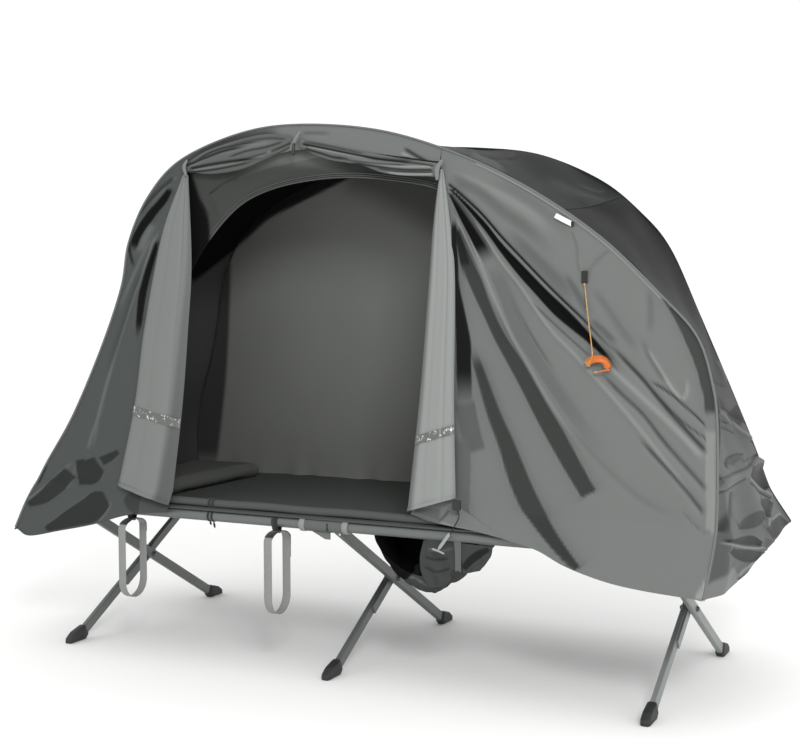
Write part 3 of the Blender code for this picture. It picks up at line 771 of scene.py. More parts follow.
@dataclass
class Panel:
    """One sheet of cloth: a grid bent to its shape, with folds and a thin wall."""

    name: str
    columns: int
    rows: int
    shape: Shape
    finish: Finish
    out: Place
    folds: Sequence[Crease] = ()
    unevenness: Amount | None = None
    # Painted shade over the whole panel, below zero painted light
    painted_shading: Amount | None = None
    planar: bool = False
    crowd: tuple[float, float] = (1.0, 1.0)
    pinned: tuple[float, float, float, float] = (0.02, 0.02, 0.03, 0.03)
    thickness: float = 0.0010
    span: tuple[float, float] = field(default=(0.0, 0.0), init=False)

    def points(self, s: Array, t: Array) -> tuple[Points, Array, Array]:
        """The cloth's points on a full grid, how far they move, and their shadow.

        Args:
            s: shares across, in grid order.
            t: shares up, in grid order.

        Returns:
            The unfolded points, and for each the metres outwards and a share of shadow.
        """
        flat = self.shape(s, t)
        move, dark = fold_field(self.folds, flat)
        if self.unevenness:
            move = move + self.unevenness(s, t, flat)
        left, right, bottom, top = self.pinned
        hold = np.ones_like(s)
        for share, width in ((s, left), (1.0 - s, right), (t, bottom), (1.0 - t, top)):
            if width:
                hold *= smoothstep(share / width)
        # Blend the panel's own painted shading into the folds' painted shade
        if self.painted_shading:
            base = self.painted_shading(s, t, flat)
            dark = np.where(dark > 0.0, 1.0 - (1.0 - dark) * (1.0 - np.maximum(base, 0.0)), dark + base)
        return flat, move * hold, dark

    def build(self) -> Piece:
        """Make the sheet.

        Returns:
            The cloth's object, in place.
        """
        piece, corners = grid(self.columns, self.rows)
        mesh = piece.data
        s, t = (np.clip(corners[:, axis] + 0.5, 0.0, 1.0) ** self.crowd[axis] for axis in (0, 1))
        order = np.lexsort((s, t))
        size = (self.rows + 1, self.columns + 1)
        flat, move, dark = self.points(s[order], t[order])
        flat = flat.reshape(*size, 3)
        normal = np.cross(np.gradient(flat, axis=1), np.gradient(flat, axis=0))
        normal /= np.maximum(np.linalg.norm(normal, axis=-1, keepdims=True), 1e-12)
        facing = np.sign((normal @ np.array(self.out)).mean()) or 1.0
        moved = flat + normal * facing * move.reshape(size)[..., None]
        wide, high = (np.linalg.norm(np.diff(moved, axis=axis), axis=-1) for axis in (1, 0))
        self.span = (float(wide.sum(axis=1).max()), float(high.sum(axis=0).max()))
        result = np.empty((len(s), 3))
        result[order] = moved.reshape(-1, 3)
        mesh.vertices.foreach_set("co", result.ravel())
        if self.planar:
            lay_map(mesh, result[:, 0], result[:, 2])
        else:
            lay_map(mesh, s * self.span[0], t * self.span[1])
        shade = np.empty(len(s))
        shade[order] = dark
        darken(mesh, shade)
        if facing < 0.0:
            mesh.flip_normals()
        mesh.update()
        modify(piece, "SOLIDIFY", thickness=self.thickness, offset=-1.0)
        smooth(piece, 60.0)
        return dress(piece, self.name, self.finish)

    def lay(self, node: str = "", rests_on: Sequence[str] = (), held: Held = Held.STRETCHED,
            body: str = "") -> Piece:
        """Make the sheet and let it ride; for a piece of the part, hide the part's node.

        Args:
            node: the part's node that it stands for, if any.
            rests_on: what it lies on or hangs from; not used.
            held: how it is held; not used.
            body: the body it rides on. Without one it rides on the root.

        Returns:
            The cloth's object.
        """
        piece = self.build()
        if body:
            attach(piece, body)
        else:
            soft_ride(piece)
        if node:
            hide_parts(node)
            area = sum(face.area for face in piece.data.polygons) / 2.0
            long, wide = max(self.span), min(self.span)
            wide = min(max(wide, area / long), area / long / 0.32)
        return piece


def close_end(piece: Piece, ring: Points) -> None:
    """Fill a tube's open end, in edit mode.

    Args:
        piece: the tube.
        ring: the points of its last ring.
    """
    bpy.ops.mesh.select_all(action="DESELECT")
    bpy.ops.object.mode_set(mode="OBJECT")
    middle = Vector(ring.mean(axis=0))
    reach = float(np.linalg.norm(ring - ring.mean(axis=0), axis=1).max()) + 1e-5
    near = [(vertex.co - middle).length <= reach for vertex in piece.data.vertices]
    uses = [0] * len(piece.data.edges)
    for face in piece.data.polygons:
        for corner in face.loop_indices:
            uses[piece.data.loops[corner].edge_index] += 1
    for edge in piece.data.edges:
        first, second = edge.vertices
        edge.select = uses[edge.index] == 1 and near[first] and near[second]
    bpy.ops.object.mode_set(mode="EDIT")
    bpy.ops.mesh.edge_face_add()


def sweep(name: str, route: Points, ring: Ring, finish: Finish,
          up: Sequence[float] = UPWARD, closed: bool = False) -> Piece:
    """Sweep a changing ring along a route, as a closed tube with capped ends.

    Args:
        name: the piece's name.
        route: the points of its middle.
        ring: for a share of the route, the ring's points, sideways and upwards.
        finish: what it is made of.
        up: the direction nearest to the ring's up.
        closed: True for a loop that joins its own start.

    Returns:
        The swept piece.
    """
    route = np.asarray(route, float)
    count = len(route)
    if closed:
        ahead = np.roll(route, -1, axis=0) - np.roll(route, 1, axis=0)
    else:
        ahead = np.gradient(route, axis=0)
    ahead /= np.linalg.norm(ahead, axis=1, keepdims=True)
    lifted = np.array(up, float) - ahead * (ahead @ np.array(up, float))[:, None]
    lifted /= np.linalg.norm(lifted, axis=1, keepdims=True)
    side = np.cross(ahead, lifted)
    rings = np.array([ring(i / (count - 1)) for i in range(count)])
    sides = rings.shape[1]
    points = route[:, None] + side[:, None] * rings[..., :1] + lifted[:, None] * rings[..., 1:]
    spans = count if closed else count - 1
    piece, corners = grid(sides, spans)
    column = np.rint((corners[:, 0] + 0.5) * sides).astype(int)
    row = np.rint((corners[:, 1] + 0.5) * spans).astype(int)
    piece.data.vertices.foreach_set("co", points[row % count, column % sides].ravel())
    steps = np.linalg.norm(np.diff(np.vstack([route, route[:1]]), axis=0), axis=1)
    gone = np.concatenate([[0.0], np.cumsum(steps)])
    girth = np.linalg.norm(rings[0] - np.roll(rings[0], 1, axis=0), axis=1).sum()
    lay_map(piece.data, gone[row], column / sides * girth)
    piece.data.update()
    only(piece)
    bpy.ops.object.mode_set(mode="EDIT")
    bpy.ops.mesh.select_all(action="SELECT")
    bpy.ops.mesh.remove_doubles(threshold=1e-6)
    if not closed:
        bpy.ops.mesh.select_mode(type="EDGE")
        for end in (0, -1):
            close_end(piece, points[end])
        bpy.ops.mesh.select_mode(type="VERT")
    bpy.ops.mesh.select_all(action="SELECT")
    bpy.ops.mesh.normals_make_consistent(inside=False)
    bpy.ops.object.mode_set(mode="OBJECT")
    smooth(piece, 50.0)
    return dress(piece, name, finish)


def oval(wide: float, high: float, sides: int = 12) -> Array:
    """The points of an oval section."""
    turn = np.linspace(0.0, math.tau, sides, endpoint=False)
    return np.stack([np.cos(turn) * wide, np.sin(turn) * high], axis=1)


def round_ring(radius: float, sides: int = 10) -> Ring:
    """A ring of one radius all along."""
    return lambda share: oval(radius, radius, sides)


def strap_ring(width: float, thickness: float) -> Ring:
    """A flat strap's section, standing on its edge, with rounded edges."""
    half, edge = width / 2.0, thickness / 2.0
    ring = np.array([(0.0, -half), (edge, -half + edge), (edge * 1.15, 0.0), (edge, half - edge), (0.0, half),
                     (-edge, half - edge), (-edge * 1.15, 0.0), (-edge, -half + edge)])
    return lambda share: ring


def rounded_block(name: str, low: Sequence[float], high: Sequence[float], edge: float,
                  finish: Finish) -> Piece:
    """A box with rounded edges, between two corners.

    Args:
        name: the piece's name.
        low: its lowest corner.
        high: its highest corner.
        edge: the rounding's radius.
        finish: what it is made of.

    Returns:
        The block.
    """
    low, high = Vector(low), Vector(high)
    deselect()
    bpy.ops.mesh.primitive_cube_add(size=1.0, location=(low + high) / 2.0)
    piece = bpy.context.object
    piece.scale = high - low
    seat(piece)
    modify(piece, "BEVEL", width=edge, segments=3)
    smooth(piece)
    return dress(piece, name, finish)


# The tent's shape, as in the CAD source


@dataclass
class TentShape:
    """The ridges, hems and leaning sides that all cloth is stretched on."""

    side: float = 0.365
    side_height: float = 0.400
    lean: float = 0.17
    skirt_top: float = 0.470
    flare: float = 0.51
    inner_step: float = 0.030
    inner_foot: float = 0.4289
    roof_crown: float = -0.010
    inner_crown: float = 0.0
    fly_steps: int = 72
    inner_steps: int = 56
    under: float = 0.0039
    near: Line = Line(
        "-1.012,0.33 -0.998,0.425 -0.962,0.51 -0.876,0.66 -0.795,0.86 -0.745,1.03 -0.733,1.16 "
        "-0.68,1.288 -0.577,1.391 -0.38,1.458 -0.187,1.471 0.061,1.44 0.293,1.365 0.496,1.267 "
        "0.689,1.14 0.844,1 0.934,0.904 0.975,0.794 0.991,0.693 1,0.469 0.99,0.32")
    far_half: str = (
        "0,1.433 0.188,1.424 0.369,1.396 0.54,1.32 0.649,1.23 0.729,1.13 0.805,0.948 0.907,0.688 "
        "0.95,0.572 0.984,0.472 1.034,0.376")
    inner_half: str = (
        "0,1.385 0.275,1.365 0.426,1.32 0.54,1.262 0.63,1.19 0.715,1.065 0.76,0.906 0.8,0.79 "
        "0.875,0.6 0.9,0.4289")
    inner_near_right: str = (
        "0.242,1.31 0.415,1.22 0.58,1.12 0.687,1.04 0.8,0.93 0.88,0.8 0.905,0.6 0.9,0.4289")
    door: Line = Line(
        "-0.565,0.4289 -0.562,0.9 -0.523,1.077 -0.41,1.23 -0.285,1.296 -0.096,1.321 0.087,1.308 "
        "0.25,1.27 0.37,1.18 0.43,1.05 0.45,0.9 0.452,0.4289")
    valance: Line = Line(
        "-0.54,1.352 -0.38,1.366 -0.185,1.4 0.03,1.38 0.243,1.347")
    hem_left: Line = Line(
        "-1.001,0.332 -0.95,0.318 -0.85,0.338 -0.74,0.362 -0.625,0.395 -0.5,0.41")
    hem_right: Line = Line(
        "0.33,0.458 0.4,0.437 0.48,0.416 0.579,0.395 0.654,0.366 0.751,0.342 0.845,0.33 0.988,0.3215")
    hem_back: Line = Line(
        "-1.022,0.38 -0.7,0.362 0,0.366 0.7,0.362 1.022,0.38")

    def __post_init__(self) -> None:
        """Lay the ridges that mirror themselves."""
        far, inner = pairs(self.far_half), pairs(self.inner_half)
        left = [(-x, z) for x, z in reversed(inner)]
        self.far = Line([(-x, z) for x, z in reversed(far)] + far[1:])
        self.inner_far = Line(left + inner[1:])
        self.inner_near = Line(left + pairs(self.inner_near_right))

    def side_y(self, z: Array) -> Array:
        """How far out the fly's long sides are at a height."""
        z = np.asarray(z, float)
        leaning = self.side - self.lean * (z - self.side_height)
        waist = self.side - self.lean * (self.skirt_top - self.side_height)
        return np.where(z >= self.skirt_top, leaning, waist + self.flare * (self.skirt_top - z))

    def inner_y(self, z: Array) -> Array:
        """How far out the inner tent's long sides are at a height."""
        return self.side - self.inner_step - self.lean * (np.asarray(z, float) - self.side_height)

    def on_side(self, flat: Array, side: float, depth: Curve) -> Points:
        """Stand points of an X-Z outline up on a leaning side.

        Args:
            flat: x and z of each point.
            side: -1 for the near side, 1 for the far side.
            depth: how far out the side is at a height.

        Returns:
            The points.
        """
        return np.stack([flat[..., 0], side * depth(flat[..., 1]), flat[..., 1]], axis=-1)

    def photo_point(self, pixel: Pixel, lift: float = 0.0) -> Array:
        """The point of the near side, lifted off it, that shows at a pixel."""
        offset = self.side + self.lean * self.side_height + lift
        return PHOTO.on_plane(pixel, (0.0, 1.0, -self.lean), -offset)

    def photo_line(self, pixels: str, lift: float) -> Line:
        """The line on the near side, lifted off it, that shows at a text of pixels."""
        return Line([self.photo_point(pixel, lift) for pixel in pairs(pixels)])

    def band(self, near: Line, far: Line, depth: Curve, low: float, high: float, crown: float) -> Shape:
        """The cloth between the two ridges.

        Args:
            near: the near ridge.
            far: the far ridge.
            depth: how far out the sides are at a height.
            low: the ridges' share where it starts.
            high: the share where it ends.
            crown: how far it rises in its middle.

        Returns:
            Its shape, s along the ridges and t from near to far.
        """
        def place(s: Array, t: Array) -> Points:
            """The cloth's points."""
            share = low + (high - low) * s
            near_points = self.on_side(near.at(share), -1.0, depth)
            far_points = self.on_side(far.at(share), 1.0, depth)
            out = near.outward(share) * (1.0 - t)[:, None] + far.outward(share) * t[:, None]
            rise = crown * np.sin(math.pi * t)
            points = near_points * (1.0 - t)[:, None] + far_points * t[:, None]
            points[:, 0] += out[:, 0] * rise
            points[:, 2] += out[:, 1] * rise
            return points
        return place

    def ruled(self, top: Curve, bottom: Curve, depth: Curve, side: float) -> Shape:
        """Cloth of a leaning side, stretched between a top line and a bottom line."""
        flat = between(bottom, top)
        return lambda s, t: self.on_side(flat(s, t), side, depth)

    def fan(self, apex: Sequence[float], rim: Line, hole: float, depth: Curve, side: float) -> Shape:
        """Cloth gathered at an apex and spread to a rim.

        Args:
            apex: x and z of the gather.
            rim: its outer edge.
            hole: the share next to the apex that is left out.
            depth: how far out the side is at a height.
            side: -1 for the near side, 1 for the far side.

        Returns:
            Its shape, s along the rim and t from the apex out.
        """
        middle = np.array(apex)

        def place(s: Array, t: Array) -> Points:
            """The cloth's points."""
            share = (hole + (1.0 - hole) * t)[:, None]
            return self.on_side(middle * (1.0 - share) + rim.at(s) * share, side, depth)
        return place

    def ridge(self, line: Line, steps: int, first: float, last: float, inset: float) -> Curve:
        """Part of a ridge, as a function of the share along it.

        Args:
            line: the ridge.
            steps: how many steps it has.
            first: the step where the part starts.
            last: the step where it ends.
            inset: how far inside the ridge it lies.

        Returns:
            The function.
        """
        def place(s: Array) -> Array:
            """The line's points."""
            share = (first + (last - first) * s) / steps
            return line.at(share) - line.outward(share) * inset
        return place


TENT = TentShape()


# Sub-assemblies


@dataclass
class CotFrame:
    """Rails, crossed legs, foot caps, sleeves and rivets."""

    pairs: tuple[tuple[str, float], ...] = (("left", -0.853), ("mid", 0.0), ("right", 0.853))
    rail_y: float = RAIL_Y
    rail_z: float = RAIL_Z
    foot_y: float = 0.346
    leg_width: float = 0.016
    leg_gap: float = 0.005
    cap_profile: tuple[tuple[float, float], ...] = (
        # Out from the foot and up: toe, toe's top, back, the leg's upper side, the leg's lower side, heel
        (0.0290, 0.0), (0.0280, 0.0130), (0.0050, 0.0290), (-0.0385, 0.0415), (-0.0530, 0.0125),
        (-0.0400, 0.0))
    cap_edge: float = 0.12
    rivet_radius: float = 0.0032
    cross_radius: float = 0.008
    # The head's steps, inwards and up, as shares of its radius
    dome: tuple[tuple[float, float], ...] = ((0.209, 0.0), (0.0825, 0.30), (0.2475, 0.22))
    collar_x: tuple[float, float] = (-0.082, 0.046)
    collar_radius: float = 0.0190
    pin_x: float = -0.004
    pin_size: Place = (0.004, 0.037, 0.020)
    plate_rivets: tuple[Pixel, ...] = ((321.5, 527.5), (336.5, 531.0), (342.0, 530.0), (340.0, 534.5))

    def rivet(self, name: str, place: Vector, axis: Vector, body: str, radius: float, finish: Finish) -> None:
        """A domed rivet head with its washer.

        Args:
            name: the piece's name.
            place: the middle of its foot.
            axis: the way it stands out.
            body: the body that it rides on.
            radius: the washer's radius.
            finish: what it is made of.
        """
        deselect()
        turn = axis.to_track_quat("Z", "Y").to_euler()
        bpy.ops.mesh.primitive_cylinder_add(vertices=20, radius=radius, depth=radius * 0.35,
                                            location=place + axis * radius * 0.17, rotation=turn)
        piece = bpy.context.object
        bpy.ops.object.mode_set(mode="EDIT")
        bpy.ops.mesh.select_mode(type="FACE")
        bpy.ops.mesh.select_all(action="DESELECT")
        bpy.ops.object.mode_set(mode="OBJECT")
        for face in piece.data.polygons:
            face.select = face.normal.z > 0.9
        bpy.ops.object.mode_set(mode="EDIT")
        for inset, rise in self.dome:
            bpy.ops.mesh.inset(thickness=radius * inset)
            bpy.ops.transform.translate(value=axis * radius * rise)
        bpy.ops.object.mode_set(mode="OBJECT")
        seat(piece)
        smooth(piece, 50.0)
        dress(piece, name, finish)
        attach(piece, body)

    def cap(self, letter: str, pair: str) -> None:
        """A moulded foot cap with a blunt toe, standing flat on the ground.

        Args:
            letter: a or b, the leg's.
            pair: left, mid or right.
        """
        node = f"foot_{letter}_{pair}"
        low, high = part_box(node)
        out = 1.0 if letter == "a" else -1.0
        profile = np.array([(out * (self.foot_y + away), rise) for away, rise in self.cap_profile])
        behind, ahead = np.roll(profile, 1, axis=0), np.roll(profile, -1, axis=0)
        edge = self.cap_edge
        corners = np.stack([profile + (behind - profile) * edge, profile * (1.0 - 0.3 * edge)
                            + (behind + ahead) * 0.15 * edge, profile + (ahead - profile) * edge], axis=1)
        outline = corners.reshape(-1, 2)
        middle = outline.mean(axis=0)
        # Rounded off towards both flat sides, in two steps
        x = [low.x, low.x + 0.0022, low.x + 0.0045, high.x - 0.0045, high.x - 0.0022, high.x]
        sizes = (0.88, 0.96, 1.0, 1.0, 0.96, 0.88)
        piece = sweep(f"cap_{letter}_{pair}", np.array([(value, 0.0, 0.0) for value in x]),
                      lambda share: middle + (outline - middle) * sizes[round(share * 5.0)], RUBBER)
        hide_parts(node)
        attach(piece, f"legs_{letter}")

    def collars(self) -> None:
        """Rings round the near and far rail at the sleeve's ends, and the sleeve's pin."""
        for side, y, body in (("near", -self.rail_y, "near_rail"), ("far", self.rail_y, ROOT)):
            flip = 1.0 if side == "near" else -1.0
            for index, x in enumerate(self.collar_x):
                route = np.array([(flip * x + d, y, self.rail_z) for d in (-0.008, -0.006, 0.006, 0.008)])
                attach(sweep(f"collar_{side}_{index}", route, self.collar_ring, COLLAR), body)
            low = Vector((flip * self.pin_x - self.pin_size[0] / 2.0, y - self.pin_size[1] / 2.0,
                          self.rail_z - 0.012))
            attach(rounded_block(f"pin_{side}", low, low + Vector(self.pin_size), THIN, BLACK_PLASTIC), body)

    def collar_ring(self, share: float) -> Array:
        """A collar's section, chamfered at both ends."""
        radius = self.collar_radius - (THIN if share in (0.0, 1.0) else 0.0)
        return oval(radius, radius, 28)

    def build(self) -> None:
        """Dress the metal nodes and add caps and rivets."""
        marks = {"leg_": STEEL, "hub_": STEEL, "_rail_sleeve": SLEEVE, "_rail_": RAIL_STEEL}
        for name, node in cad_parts.items():
            finish = next((finish for mark, finish in marks.items() if mark in name), None)
            # The foot end's legs and hubs take the copy with painted light
            if finish is STEEL and name.endswith("right"):
                finish = STEEL_PAINTED_LIGHT
            if finish:
                node.data.materials.clear()
                node.data.materials.append(finish.material())
        crossing = self.rail_z * self.foot_y / (self.rail_y + self.foot_y)
        outside = self.leg_width + self.leg_gap / 2.0
        for pair, x in self.pairs:
            for letter, way in (("a", -1.0), ("b", 1.0)):
                self.cap(letter, pair)
                self.rivet(f"rivet_cross_{letter}_{pair}", Vector((x + way * outside, 0.0, crossing)),
                           Vector((way, 0.0, 0.0)), f"legs_{letter}", self.cross_radius, STEEL)
        for index, pixel in enumerate(self.plate_rivets):
            place = Vector(PHOTO.on_plane(pixel, ACROSS, -self.rail_y - 0.0022))
            self.rivet(f"rivet_near_{index}", place, Vector(NEARWARD), "near_rail", self.rivet_radius, BRIGHT)
            self.rivet(f"rivet_far_{index}", Vector((-place.x, -place.y, place.z)), Vector(ACROSS), ROOT,
                       self.rivet_radius, BRIGHT)
        self.collars()


@dataclass
class Bed:
    """The cloth deck, the roll on its near edge, and the pillow."""

    half_x: float = 0.950
    half_y: float = 0.366
    top: float = 0.428
    edge_drop: float = 0.004
    roll_x: tuple[float, float] = (-0.560, 0.460)
    pillow_low: tuple[float, float] = (-0.860, -0.265)
    pillow_high: tuple[float, float] = (-0.575, 0.265)
    pillow_base: float = 0.4283
    pillow_height: float = 0.046
    inset: float = 0.012
    pressure: float = 4.0
    frames: int = 20
    voxel: float = 0.006

    def deck(self) -> None:
        """The deck cloth, drawn tight over the rails, with shallow ripples along it."""
        def place(s: Array, t: Array) -> Points:
            """The deck's top face, which drops along its long edges."""
            over = 2.0 * t - 1.0
            edge = np.maximum(np.abs(over) - 0.96, 0.0) / 0.04
            return np.stack([(2.0 * s - 1.0) * self.half_x, over * self.half_y,
                             self.top - self.edge_drop * edge ** 2], axis=-1)

        Panel("deck_cloth_sheet", 120, 60, place, DECK, UPWARD, thickness=0.005,
              unevenness=lambda s, t, flat: -0.0006 * (1.0 + ripple(flat[:, 0] * 3.0, flat[:, 1] * 2.0, 4))
              ).lay("deck", ["near_rail_left", "far_rail_left"])

    def pillow(self) -> None:
        """The pillow: a soft bag blown up by a short cloth simulation."""
        low = (Vector((*self.pillow_low, self.pillow_base))
               + Vector((self.inset, self.inset, self.inset / 2.0)))
        high = (Vector((*self.pillow_high, self.pillow_base + self.pillow_height))
                - Vector((self.inset, self.inset, self.inset)))
        piece = rounded_block("pillow_bag", low, high, 0.011, PILLOW)
        modify(piece, "REMESH", mode="VOXEL", voxel_size=self.voxel)
        rest = places(piece)
        cloth = piece.modifiers.new("cloth", "CLOTH")
        cloth.settings.use_pressure = True
        cloth.settings.uniform_pressure_force = self.pressure
        cloth.settings.effector_weights.gravity = 0.0
        cloth.settings.quality = 5
        scene = bpy.context.scene
        for step in range(1, self.frames + 1):
            scene.frame_set(step)
        only(piece)
        bpy.ops.object.modifier_apply(modifier="cloth")
        scene.frame_set(1)
        move = places(piece) - rest
        far = np.linalg.norm(move, axis=1, keepdims=True)
        now = rest + move * np.minimum(1.0, self.inset / np.maximum(far, 1e-9))
        now[:, 2] = np.clip(now[:, 2], self.pillow_base, self.pillow_base + self.pillow_height)
        piece.data.vertices.foreach_set("co", now.ravel())
        piece.data.update()
        modify(piece, "SUBSURF", levels=1, render_levels=1)
        smooth(piece, 60.0)
        soft_ride(piece)
        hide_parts("pillow")

    def side_roll(self) -> None:
        """The padded cloth roll that closes the deck's near edge under the door."""
        x = self.roll_x[0] + (self.roll_x[1] - self.roll_x[0]) * np.linspace(0.0, 1.0, 90)
        route = np.stack([x, np.full_like(x, ROLL_Y), ROLL_Z + 0.0008 * np.sin(x * 23.0)], axis=1)
        soft_ride(sweep("deck_edge_roll", route, lambda share: oval(0.010, 0.011, 16), DECK))

    def build(self) -> None:
        """Make the bed."""
        self.deck()
        self.pillow()
        self.side_roll()


@dataclass
class Poles:
    """The two fibreglass arches under the fly's ridges."""

    radius: float = 0.005
    inset: float = 0.0120
    foot_x: float = 0.935
    free_z: float = 0.620
    foot_z: float = 0.4289
    upright: float = 0.030

    def build(self) -> None:
        """Bend the two rods."""
        for name, line, side in (("near", TENT.near, -1.0), ("far", TENT.far, 1.0)):
            shares = np.arange(1, TENT.fly_steps) / TENT.fly_steps
            arch = line.at(shares) - line.outward(shares) * self.inset
            arch = arch[arch[:, 1] > self.free_z]
            flat = np.vstack([[(-self.foot_x, self.foot_z), (-self.foot_x, self.foot_z + self.upright)], arch,
                              [(self.foot_x, self.foot_z + self.upright), (self.foot_x, self.foot_z)]])
            depth = TENT.side_y(np.maximum(flat[:, 1], TENT.skirt_top)) - self.inset
            route = np.stack([flat[:, 0], side * depth, flat[:, 1]], axis=1)
            piece = sweep(f"arch_rod_{name}", route, round_ring(self.radius, 12), FIBRE, ACROSS)
            soft_ride(piece)
            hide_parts(f"pole_{name}")


@dataclass
class InnerTent:
    """The inner tent: roof, ends, back wall and the door wall with its zip."""

    sweep_steps: tuple[tuple[str, int, int, Place], ...] = (
        ("inner_left_end", 0, 17, HEADWARD), ("inner_roof", 17, 40, UPWARD),
        ("inner_right_end", 40, 56, FOOTWARD))
    front_steps: tuple[tuple[str, int, int], ...] = (
        ("inner_front_left", 1, 19), ("inner_front_top", 19, 38), ("inner_front_right", 38, 55))
    back_foot: float = 0.885
    header_shares: tuple[float, float] = (0.24, 0.66)
    painted_ceiling_shade: tuple[Crease, ...] = (
        # Painted shade: the ceiling is painted black down to a slanting edge over the back wall
        Pleat("170,292 228,251 272,217 340,182 366,172", "170,200 228,176 272,150 340,130 366,126", 0, 0.96,
              3.5, 2.0, 1.0, 0.0, 0.04),
        # Painted shade that fades down the back wall below the door's top
        Pleat("330,186 380,200 450,240", "330,130 380,130 450,140", 0, 0.55, 36.0, 2.0, 1.0, 0.25, 0.0),
    )
    back_wall_painted_shadow: tuple[Crease, ...] = (
        # The head end's painted shadow on the back wall
        Pleat("231,236 230,300 226,380 216,470", "200,236 196,300 190,380 186,470", 0, 0.78, 5.0, 3.0, 1.0,
              0.02),
    )
    wall_folds: tuple[Crease, ...] = (
        # Painted black shade beside the left curtain, and painted light on the wall's middle
        Pleat("184,170 186,200 188,240 190,290", "190,168 199,196 208,222 214,290", 0, 0.95, 1.5, 4.0, 1.0,
              0.0, 0.0),
        Fold("236,172 270,160 310,160 350,164", 0, 9.0, -0.14, 0.25, 0.25),
        Fold("206,196 222,184 240,176", -2, 1.6, 0.3, 0.2, 0.2),
    )

    def bands(self) -> None:
        """Roof and ends."""
        for node, first, last, out in self.sweep_steps:
            shape = TENT.band(TENT.inner_near, TENT.inner_far, TENT.inner_y, first / TENT.inner_steps,
                              last / TENT.inner_steps, TENT.inner_crown)

            def uneven(s: Array, t: Array, flat: Points) -> Array:
                """Slack between the seams."""
                return -0.004 * (1.0 + ripple(flat[:, 1] * 2.0, flat[:, 2] * 2.0 + flat[:, 0], first))

            # Painted light on the head end's inner wall
            lit = even(-0.05) if node == "inner_left_end" else None
            Panel(f"{node}_cloth", 90, 70, shape, INNER, out, self.painted_ceiling_shade, uneven, lit
                  ).lay(node, ["pole_near", "pole_far"])

    def back(self) -> None:
        """The back wall, with puckers along the floor."""
        def bottom(s: Array) -> Array:
            """The wall's foot on the deck."""
            return np.stack([self.back_foot * (2.0 * s - 1.0), np.full_like(s, TENT.inner_foot)], axis=-1)

        def uneven(s: Array, t: Array, flat: Points) -> Array:
            """Soft puckers at the foot that die out upwards, and a loose middle."""
            low = np.exp(-(flat[:, 2] - TENT.inner_foot) / 0.035)
            pucker = ripple(flat[:, 0] * 9.0, flat[:, 2] * 2.0, 9)
            return -0.005 * low * (0.8 + pucker) - 0.003 * np.sin(math.pi * t) * np.sin(math.pi * s)

        top = TENT.ridge(TENT.inner_far, TENT.inner_steps, 1, TENT.inner_steps - 1, TENT.under)
        Panel("inner_back_cloth", 180, 120, TENT.ruled(top, bottom, TENT.inner_y, 1.0), INNER_WALL_PAINTED_LIGHT, ACROSS,
              self.painted_ceiling_shade + self.back_wall_painted_shadow, uneven, pinned=(0.02, 0.02, 0.0, 0.03)
              ).lay("inner_back", ["pole_far", "deck"])

    def front(self) -> None:
        """The door wall in three panels, a little slack."""
        for node, first, last in self.front_steps:
            def bottom(s: Array) -> Array:
                """The door's edge."""
                return TENT.door.at((first + (last - first) * s - 1.0) / (TENT.inner_steps - 2.0))

            def uneven(s: Array, t: Array, flat: Points) -> Array:
                """Slack across the panel."""
                waves = 1.0 + ripple(flat[:, 0] * 3.0, flat[:, 2] * 3.0, first)
                return -0.003 * waves * np.sin(math.pi * t)

            top = TENT.ridge(TENT.inner_near, TENT.inner_steps, first, last, TENT.under)
            Panel(f"{node}_cloth", 110, 26, TENT.ruled(top, bottom, TENT.inner_y, -1.0), INNER, NEARWARD,
                  self.wall_folds, uneven).lay(node, ["pole_near"])

    def header(self) -> None:
        """The door wall's upper edge, carried out and up to the fly behind the valance."""
        wall = TENT.ridge(TENT.inner_near, 1, *self.header_shares, 0.004)
        fly = TENT.ridge(TENT.near, 1, *self.header_shares, 0.030)
        shape = between(lambda s: TENT.on_side(wall(s), -1.0, TENT.inner_y),
                        lambda s: TENT.on_side(fly(s), -1.0, lambda z: TENT.side_y(z) - 0.008))
        # Painted light over the header, fading out towards its left end
        Panel("door_wall_header", 160, 30, shape, INNER, NEARWARD, self.wall_folds,
              painted_shading=lambda s, t, flat: -0.10 * smoothstep((s - 0.2) / 0.4), pinned=(0.02, 0.02, 0.02, 0.02)
              ).lay()

    def zip_line(self) -> None:
        """The zip round the door: three pipings side by side."""
        shares = np.linspace(0.0, 1.0, 220)
        for name, inset, radius in (("outer", -0.011, 0.0016), ("middle", -0.0055, 0.0016),
                                    ("inner", 0.0, 0.0022)):
            flat = TENT.door.at(shares) - TENT.door.outward(shares) * inset
            route = TENT.on_side(flat, -1.0, TENT.inner_y)
            route[:, 1] -= radius
            piece = sweep(f"door_piping_{name}", route, round_ring(radius, 8), PIPING, ACROSS)
            # The pipings take the painted shade and light of the door wall
            darken(piece.data, fold_field(self.wall_folds, places(piece))[1])
            soft_ride(piece)

    def build(self) -> None:
        """Make the inner tent."""
        self.bands()
        self.back()
        self.front()
        self.header()
        self.zip_line()


